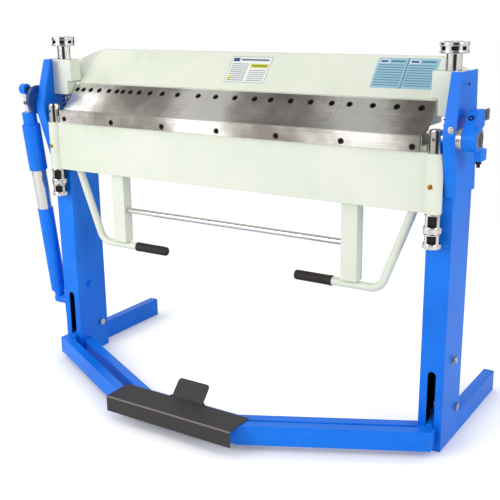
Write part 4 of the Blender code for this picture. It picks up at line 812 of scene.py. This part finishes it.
def slotted(bm, foot, radius, count, first, wide, low, high, deep, node):
    """A chromed upright ring with rectangular slots milled into it; the slot walls carry painted shade."""
    blank = linked("blank", mesh_of(bm, "blank", bright_chrome, slot_wall_shade))
    cutter_bm = bmesh.new()
    axis = Vector((0, 0, 1))
    for k in range(count):
        a = math.radians(first) + 2 * math.pi * k / count
        out = Vector((math.cos(a), math.sin(a), 0))
        across = axis.cross(out)
        box = [Vector(foot) + out * r + across * w + axis * h
               for h in (low, high) for r, w in ((radius - deep, -wide / 2), (radius * 1.4, -wide / 2),
                                                 (radius * 1.4, wide / 2), (radius - deep, wide / 2))]
        v = [cutter_bm.verts.new(p) for p in box]
        for quad in ((3, 2, 1, 0), (4, 5, 6, 7), (0, 1, 5, 4), (1, 2, 6, 5), (2, 3, 7, 6), (3, 0, 4, 7)):
            cutter_bm.faces.new([v[i] for i in quad])
    bmesh.ops.recalc_face_normals(cutter_bm, faces=cutter_bm.faces)
    cutter = linked("slots", mesh_of(cutter_bm, "slots", slot_wall_shade))
    mill = blank.modifiers.new("mill", "BOOLEAN")
    mill.object = cutter
    mill.solver = "EXACT"
    mill.material_mode = "TRANSFER"
    made = baked(blank)
    bpy.data.objects.remove(blank)
    bpy.data.objects.remove(cutter)
    used = list(made.materials)
    bm = bmesh.new()
    bm.from_mesh(made)
    bmesh.ops.remove_doubles(bm, verts=bm.verts, dist=0.00001)
    for edge in bm.edges:
        if len(edge.link_faces) == 2 and abs(edge.calc_face_angle(0.0)) > math.radians(40):
            edge.smooth = False
    for one in bm.faces:
        one.smooth = True
    settled(bm, node + "_finished", used, body_of(node), 0.0, [node])


def scalloped(edge, count, deep):
    """Radius rule: the widest rings get shallow rounded flutes."""
    def rule(radius, far, a):
        return radius - deep * max(0.0, math.cos(a * count)) ** 2 if radius > edge else radius
    return rule


FLUTES = 12
FLUTE_DEEP = 0.0022
SLOT_WIDE = 0.0240
SLOT_DEEP = 0.0085
CURVE_MERGE = 0.0004
SET_RADIUS = 0.0042
SET_TALL = 0.0012
SET_UP = 0.893
POST_RADIUS = 0.0205
FIRST_SLOT = {"left": -55, "right": -72}
for word in ("left", "right"):
    post_x = axis_of("lock_nut_" + word)[0].x
    eased("trunnion_" + word, TURNED_EDGE, bright_chrome, merge=CURVE_MERGE)
    socket_screws("post_set_screw_" + word, SET_RADIUS, SET_TALL,
                  [Vector((post_x, origin.y + bend_y - POST_RADIUS + SEATED, SET_UP))], (0, -1, 0),
                  body_of("trunnion_" + word), 7)
    for node in ("adjusting_nut_" + word, "lock_nut_" + word):
        foot, wide, tall = axis_of(node)
        foot = (post_x, origin.y + bend_y, foot.z)
        body_radius = wide * 0.92
        ring_top = tall * 0.34
        profile = softened([(0, 0.0), (wide * 0.86, 0.0), (wide, 0.0016), (wide, ring_top - 0.0016),
                            (body_radius, ring_top), (body_radius, tall), (0, tall)], 0.0010)
        bm = spun(profile, foot, (0, 0, 1), LARGE_TURN, scalloped(wide * 0.97, FLUTES, FLUTE_DEEP))
        slotted(bm, foot, body_radius, 4, FIRST_SLOT[word], SLOT_WIDE, ring_top + 0.001, tall - 0.0030,
                SLOT_DEEP, node)
eased("tie_rod", TURNED_EDGE, bright_chrome)

# Turned brass of a grease nipple: yellow, softly dulled.
brass = mottled("turned_brass", 300.0, 2.0, [(0.3, "#8a6a1e"), (0.7, "#c49a3a")],
                {"Roughness": 0.30, "Metallic": 1.0})
nipple = softened([(0, 0), (0.0066, 0), (0.0066, 0.0035), (0.0040, 0.0045), (0.0036, 0.0075),
                   (0.0022, 0.0085), (0.0010, 0.0085)], 0.0005) + [(0.0009, 0.0078), (0, 0.0076)]
housing_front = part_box("leaf")[0].y
NIPPLE_SPOTS = ((-0.6762, 0.7769), (0.6708, 0.771))
nipples = [Vector((origin.x + x, housing_front + SEATED, z)) for x, z in NIPPLE_SPOTS]
screw_row("grease_nipples", nipple, nipples, (0, -1, 0), brass, body_of("leaf"), 2,
          hexagon(0.0120, 0.0066))

# Handles and grips under the leaf: bent steel tube in the same enamel, with ribbed soft rubber
# sleeves pushed over the ends and glued.
TUBE_END = 0.0006
END_SCOPE = 50.0
GRIP_RIBS = 14
GRIP_TIP = 0.012
GRIP_PLAIN = 0.022
# Moulded rubber: dark brown-black, matt, a fine 1 mm grain with a dusty bloom.
dark_rubber = mottled("ribbed_grip_rubber", 1000.0, 2.0, [(0.35, "#1f1a18"), (0.7, "#332c29")],
                      {"Roughness": 0.62, "Specular IOR Level": 0.4}, (0.25, 0.0004))

for side, word in ((-1, "left"), (1, "right")):
    eased("handle_" + word, TUBE_END, cream_enamel, scope=END_SCOPE)
    low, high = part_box("grip_" + word)
    radius = (high.z - low.z) / 2
    length = high.x - low.x
    tip = low.x if side > 0 else high.x
    shape = [(0, 0.0), (radius * 0.55, 0.0002), (radius * 0.85, 0.003), (radius * 0.97, 0.008)]
    rib = (length - GRIP_PLAIN) / GRIP_RIBS
    for k in range(GRIP_RIBS):
        start = GRIP_TIP + (length - GRIP_PLAIN) * k / GRIP_RIBS
        shape += [(radius * 0.90, start), (radius * 0.90, start + rib * 0.25),
                  (radius * 0.97, start + rib * 0.45), (radius * 0.97, start + rib * 0.85)]
    shape += [(radius, length - 0.008), (radius, length - 0.001), (radius * 0.84, length), (0, length)]
    bm = spun(shape, (tip, (low.y + high.y) / 2, (low.z + high.z) / 2), (side, 0, 0), SMALL_TURN)
    settled(bm, "grip_" + word + "_finished", dark_rubber, body_of("grip_" + word), 0.0,
            ["grip_" + word])

# Clamp rods, sleeves and hand knobs on the guide blocks: plated turned steel. The knob is a spool
# with two bright rims and milled windows all round between them.
KNOB_WINDOWS = 8
WINDOW_WIDE = 0.0135
WINDOW_DEEP = 0.0060


def lathed(name, profile, soft, foot, along, count, finish, body, stands_for=(), rule=None):
    """A turned piece: its profile softened, spun about its axis and set on its body."""
    shape = spun(softened(profile, soft), foot, along, count, rule)
    settled(shape, name, finish, body, 0.0, stands_for)


for word in ("left", "right"):
    eased("clamp_rod_" + word, TUBE_END, bright_chrome, scope=END_SCOPE)
    node = "sleeve_" + word
    foot, radius, tall = axis_of(node)
    lathed(node + "_finished", [(0, 0), (radius, 0), (radius, tall), (0, tall)], 0.0008, foot, (0, 0, 1),
           FULL_TURN, bright_chrome, body_of(node), [node])
    node = "knob_" + word
    foot, radius, tall = axis_of(node)
    profile = softened([(0, 0), (radius * 0.70, 0.0), (radius * 0.95, 0.0004), (radius, 0.0020),
                        (radius, tall * 0.22), (radius * 0.965, tall * 0.25), (radius * 0.965, tall * 0.68),
                        (radius, tall * 0.71), (radius, tall - 0.0022), (radius * 0.96, tall - 0.0006),
                        (radius * 0.72, tall), (radius * 0.64, tall - 0.0018), (radius * 0.24, tall - 0.0018),
                        (radius * 0.22, tall - 0.0003), (0, tall)], 0.0007)
    slotted(spun(profile, foot, (0, 0, 1), LARGE_TURN), foot, radius * 0.965, KNOB_WINDOWS,
            FIRST_SLOT[word], WINDOW_WIDE, tall * 0.30, tall * 0.62, WINDOW_DEEP, node)

# Drawn spring wire, phosphated: dark grey with lengthwise die marks.
spring_wire = mottled("spring_wire_steel", 700.0, 2.0, [(0.3, "#3d3b39"), (0.7, "#5c5956")],
                      {"Roughness": 0.38, "Metallic": 0.9})
for word in ("left", "right"):
    spring = frame["nodes"]["lift_spring_" + word]
    spring.data.materials.clear()
    spring.data.materials.append(spring_wire)

# Angle ring, stop collar and thumb screw on the right pivot: a plated ring with engraved ticks, a
# blue cast collar with its arm and dog, and a grey wing screw through the arm.
CAST_EDGE = 0.0020
TICKS = 72
ARM_SPOT = (0.7600, 0.9500)
ARM_SCREW_RADIUS = 0.0078
RING_SCREW_RADIUS = 0.0030
DOG_SPOT = (0.7745, 0.0085)
SHAFT_RADIUS = 0.0196
low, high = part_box("angle_ring")
ring_radius = (high.z - low.z) / 2
ring_wide = high.x - low.x
ring_middle = Vector((low.x, (low.y + high.y) / 2, (low.z + high.z) / 2))
satin_ring, tree = finish_named("satin_chrome_scale_ring")
# Satin chrome with black-filled ticks cut every 5 degrees; the ticks are masks round the axis.
coords = add(tree, "ShaderNodeTexCoord").outputs["Object"]
centred = add(tree, "ShaderNodeMapping", {"Vector": coords, "Location": tuple(-ring_middle)})
place = add(tree, "ShaderNodeSeparateXYZ", {0: centred.outputs[0]})
turn = add(tree, "ShaderNodeMath", {0: place.outputs["Y"], 1: place.outputs["Z"]}, operation="ARCTAN2")
count = add(tree, "ShaderNodeMath", {0: turn.outputs[0], 1: TICKS / (2 * math.pi)}, operation="MULTIPLY")
part = add(tree, "ShaderNodeMath", {0: count.outputs[0]}, operation="FRACT")
tick = add(tree, "ShaderNodeMath", {0: part.outputs[0], 1: 0.5, 2: 0.13}, operation="COMPARE")
inner = add(tree, "ShaderNodeMath", {0: place.outputs["X"], 1: ring_wide * 0.45}, operation="LESS_THAN")
mark = add(tree, "ShaderNodeMath", {0: tick.outputs[0], 1: inner.outputs[0]}, operation="MULTIPLY")
brushed = add(tree, "ShaderNodeTexNoise", {"Vector": coords, "Scale": 400.0, "Detail": 3.0})
tone = ramp(tree, brushed.outputs["Fac"], [(0.3, "#bdbdb8"), (0.7, "#d6d6d2")])
colour = inked(tree, tone, mark.outputs[0], "#2a2a28")
surface(tree, {"Base Color": colour, "Roughness": 0.24, "Metallic": 0.95})
lathed("angle_ring_finished", [(0, 0), (ring_radius, 0), (ring_radius, ring_wide), (0, ring_wide)], 0.0008,
       ring_middle, (1, 0, 0), LARGE_TURN, satin_ring, body_of("angle_ring"), ["angle_ring"])
eased("stop_collar", CAST_EDGE, blue_coat, merge=CURVE_MERGE)
# Shot-blasted cast steel: mid grey, grainy at 0.8 mm.
cast_grey = mottled("grey_cast_steel", 1200.0, 2.0, [(0.3, "#5f5d5c"), (0.7, "#84817f")],
                    {"Roughness": 0.5, "Metallic": 0.7}, (0.3, 0.0004))
eased("thumb_screw", PLATE_EDGE, cast_grey, merge=CURVE_MERGE)

# The turned end of the shaft is bare oiled steel. Black grub screws lock the arm and the ring, and
# a black bolt with its nut stands down out of the dog.
oiled_steel = mottled("oiled_turned_steel", 160.0, 3.0, [(0.3, "#5d4a42"), (0.7, "#7b675d")],
                      {"Roughness": 0.42, "Metallic": 0.7})
shaft_face = Vector((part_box("trunnion_right")[1].x, ring_middle.y, ring_middle.z))
lathed("shaft_end_face", [(0, -0.0006), (SHAFT_RADIUS, -0.0006), (SHAFT_RADIUS, 0.0005), (0, 0.0005)], 0.0003,
       shaft_face, (1, 0, 0), EVEN_TURN, oiled_steel, body_of("trunnion_right"))
collar_body = body_of("stop_collar")
arm_spot, arm_way = faces_of("stop_collar").ray_cast(at(ARM_SPOT[0], -1.0, ARM_SPOT[1]), Vector((0, 1, 0)))[:2]
socket_screws("arm_grub_screw", ARM_SCREW_RADIUS, 0.0016, [arm_spot - arm_way * SEATED], arm_way,
              collar_body, 8)
socket_screws("ring_grub_screw", RING_SCREW_RADIUS, 0.0009,
              [ring_middle + Vector((ring_wide / 2, SEATED - ring_radius, 0))], (0, -1, 0),
              body_of("angle_ring"), 9)
dog_bolt = softened([(0, 0), (0.0088, 0), (0.0088, 0.0068), (0.0048, 0.0068), (0.0048, 0.0150),
                     (0.0040, 0.0165), (0, 0.0165)], 0.0006)
screw_row("dog_bolt", dog_bolt, [at(*DOG_SPOT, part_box("stop_collar")[0].z + 0.0002)], (0, 0, -1),
          black_oxide, collar_body, 4, hexagon(0.0150, 0.0088))

# Crank disc and counterbalance strut on the left: a disc set off centre, its blue darkened as painted
# shade, a blue lower tube, a plated ram, a wide blue spring cover and a pale link rod up to the crank
# pin. A bar's size is its radius and the two places along the strut between which it runs.
STRUT_FOOT = (-0.7800, 0.0400, 0.1900)
CRANK_PIN = (-0.7800, -0.0500, 0.9630)
DISC_EDGE = 0.0015
RAM = (0.0250, 0.2440, 0.4990)
COVER_RADIUS = 0.0310
NECK_RADIUS = 0.0240
LINK = (0.0098, 0.6990, 0.7650)
LINK_NUT = (0.0118, 0.7270, 0.7380)
EYE_RADIUS = 0.0178
EYE_HALF = 0.0120

# The frame's coat, darkened as painted shade of the disc, matt, with cloudy patches about 15 mm across.
disc_shaded_blue = mottled("frame_blue_painted_shade", 60.0, 3.0, [(0.3, "#10306e"), (0.7, "#1a4590")],
                    {"Roughness": 0.42})
eased("crank_disc", DISC_EDGE, disc_shaded_blue)
eased("strut_tube", DISC_EDGE, blue_coat)
# Zinc-plated link: a pale, slightly yellowed plate over drawn rod.
pale_rod = mottled("pale_zinc_link_rod", 200.0, 3.0, [(0.3, "#d5dade"), (0.7, "#eef1f2")],
                   {"Roughness": 0.35, "Metallic": 0.3})
strut_foot = at(*STRUT_FOOT)
crank_end = at(*CRANK_PIN)
strut_way = (crank_end - strut_foot).normalized()
strut_body = body_of("strut_ram")


def bar_shape(radius, start, end):
    """Profile of a plain round bar between two heights on its axis."""
    return [(0, start), (radius, start), (radius, end), (0, end)]


lathed("strut_plated_ram", bar_shape(*RAM), 0.0008, strut_foot, strut_way, FULL_TURN, bright_chrome, strut_body,
       ["strut_ram"])
cover = [(0, 0.4955), (COVER_RADIUS - 0.0014, 0.4955), (COVER_RADIUS, 0.4975), (COVER_RADIUS, 0.6550),
         (COVER_RADIUS - 0.0014, 0.6573), (NECK_RADIUS, 0.6580), (NECK_RADIUS, 0.6975),
         (NECK_RADIUS - 0.0015, 0.6994), (0, 0.6994)]
lathed("strut_spring_cover", cover, 0.0010, strut_foot, strut_way, FULL_TURN, blue_coat, strut_body)
lathed("strut_link_rod", bar_shape(*LINK), 0.0006, strut_foot, strut_way, SMALL_TURN, pale_rod, strut_body)
lathed("strut_link_nut", bar_shape(*LINK_NUT), 0.0010, strut_foot, strut_way, SMALL_TURN, cast_grey, strut_body,
       rule=hexagon(0.0225, LINK_NUT[0]))
lathed("strut_link_eye", bar_shape(EYE_RADIUS, -EYE_HALF, EYE_HALF), 0.0020, crank_end, (1, 0, 0), EVEN_TURN,
       blue_coat, strut_body)
crank_bolt = [(0, -0.0200), (0.0105, -0.0200), (0.0105, -0.0122), (0.0078, -0.0122), (0.0078, 0.0320),
              (0, 0.0320)]
lathed("strut_crank_bolt", crank_bolt, 0.0008, crank_end, (1, 0, 0), SMALL_TURN, black_oxide, strut_body,
       rule=hexagon(0.0190, 0.0105))

# Treadle, foot plate and release tab: a blue welded treadle with a black crinkle-coated step folded
# from 3 mm plate. A pale band along the front fold is a painted highlight.
FOLD_HIGHLIGHT_NEAR = 0.0010
FOLD_HIGHLIGHT_FAR = 0.0026
eased("treadle", PLATE_EDGE, blue_coat)
low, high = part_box("foot_plate")
crinkle, tree = finish_named("black_crinkle_coat")
# Crinkle powder coat: warm black, dull, wrinkled about 1.5 mm across, with a painted highlight on the fold.
coords = add(tree, "ShaderNodeTexCoord").outputs["Object"]
wrinkle = add(tree, "ShaderNodeTexNoise", {"Vector": coords, "Scale": 620.0, "Detail": 3.0, "Roughness": 0.6})
tone = ramp(tree, wrinkle.outputs["Fac"], [(0.35, "#2d2a2a"), (0.7, "#423e3e")])
place = add(tree, "ShaderNodeSeparateXYZ", {0: coords})
# Painted highlight: the colour turns pale within a few millimetres of the front fold.
drop_y = add(tree, "ShaderNodeMath", {0: place.outputs["Y"], 1: low.y + 0.001}, operation="SUBTRACT")
drop_z = add(tree, "ShaderNodeMath", {0: high.z - 0.001, 1: place.outputs["Z"]}, operation="SUBTRACT")
away = add(tree, "ShaderNodeMath", {0: drop_y.outputs[0], 1: drop_z.outputs[0]}, operation="ADD")
fold_highlight = add(tree, "ShaderNodeMapRange", {0: away.outputs[0], 1: FOLD_HIGHLIGHT_NEAR, 2: FOLD_HIGHLIGHT_FAR, 3: 0.70, 4: 0.0})
colour = inked(tree, tone, fold_highlight.outputs[0], "#8d8681")
lumps = add(tree, "ShaderNodeBump", {"Height": wrinkle.outputs["Fac"], "Strength": 0.45, "Distance": 0.0006})
surface(tree, {"Base Color": colour, "Roughness": 0.58, "Specular IOR Level": 0.4}, lumps.outputs[0])
eased("foot_plate", FOLD_EDGE, crinkle)
eased("release_tab", GUIDE_EDGE, crinkle)

low, high = cad_box
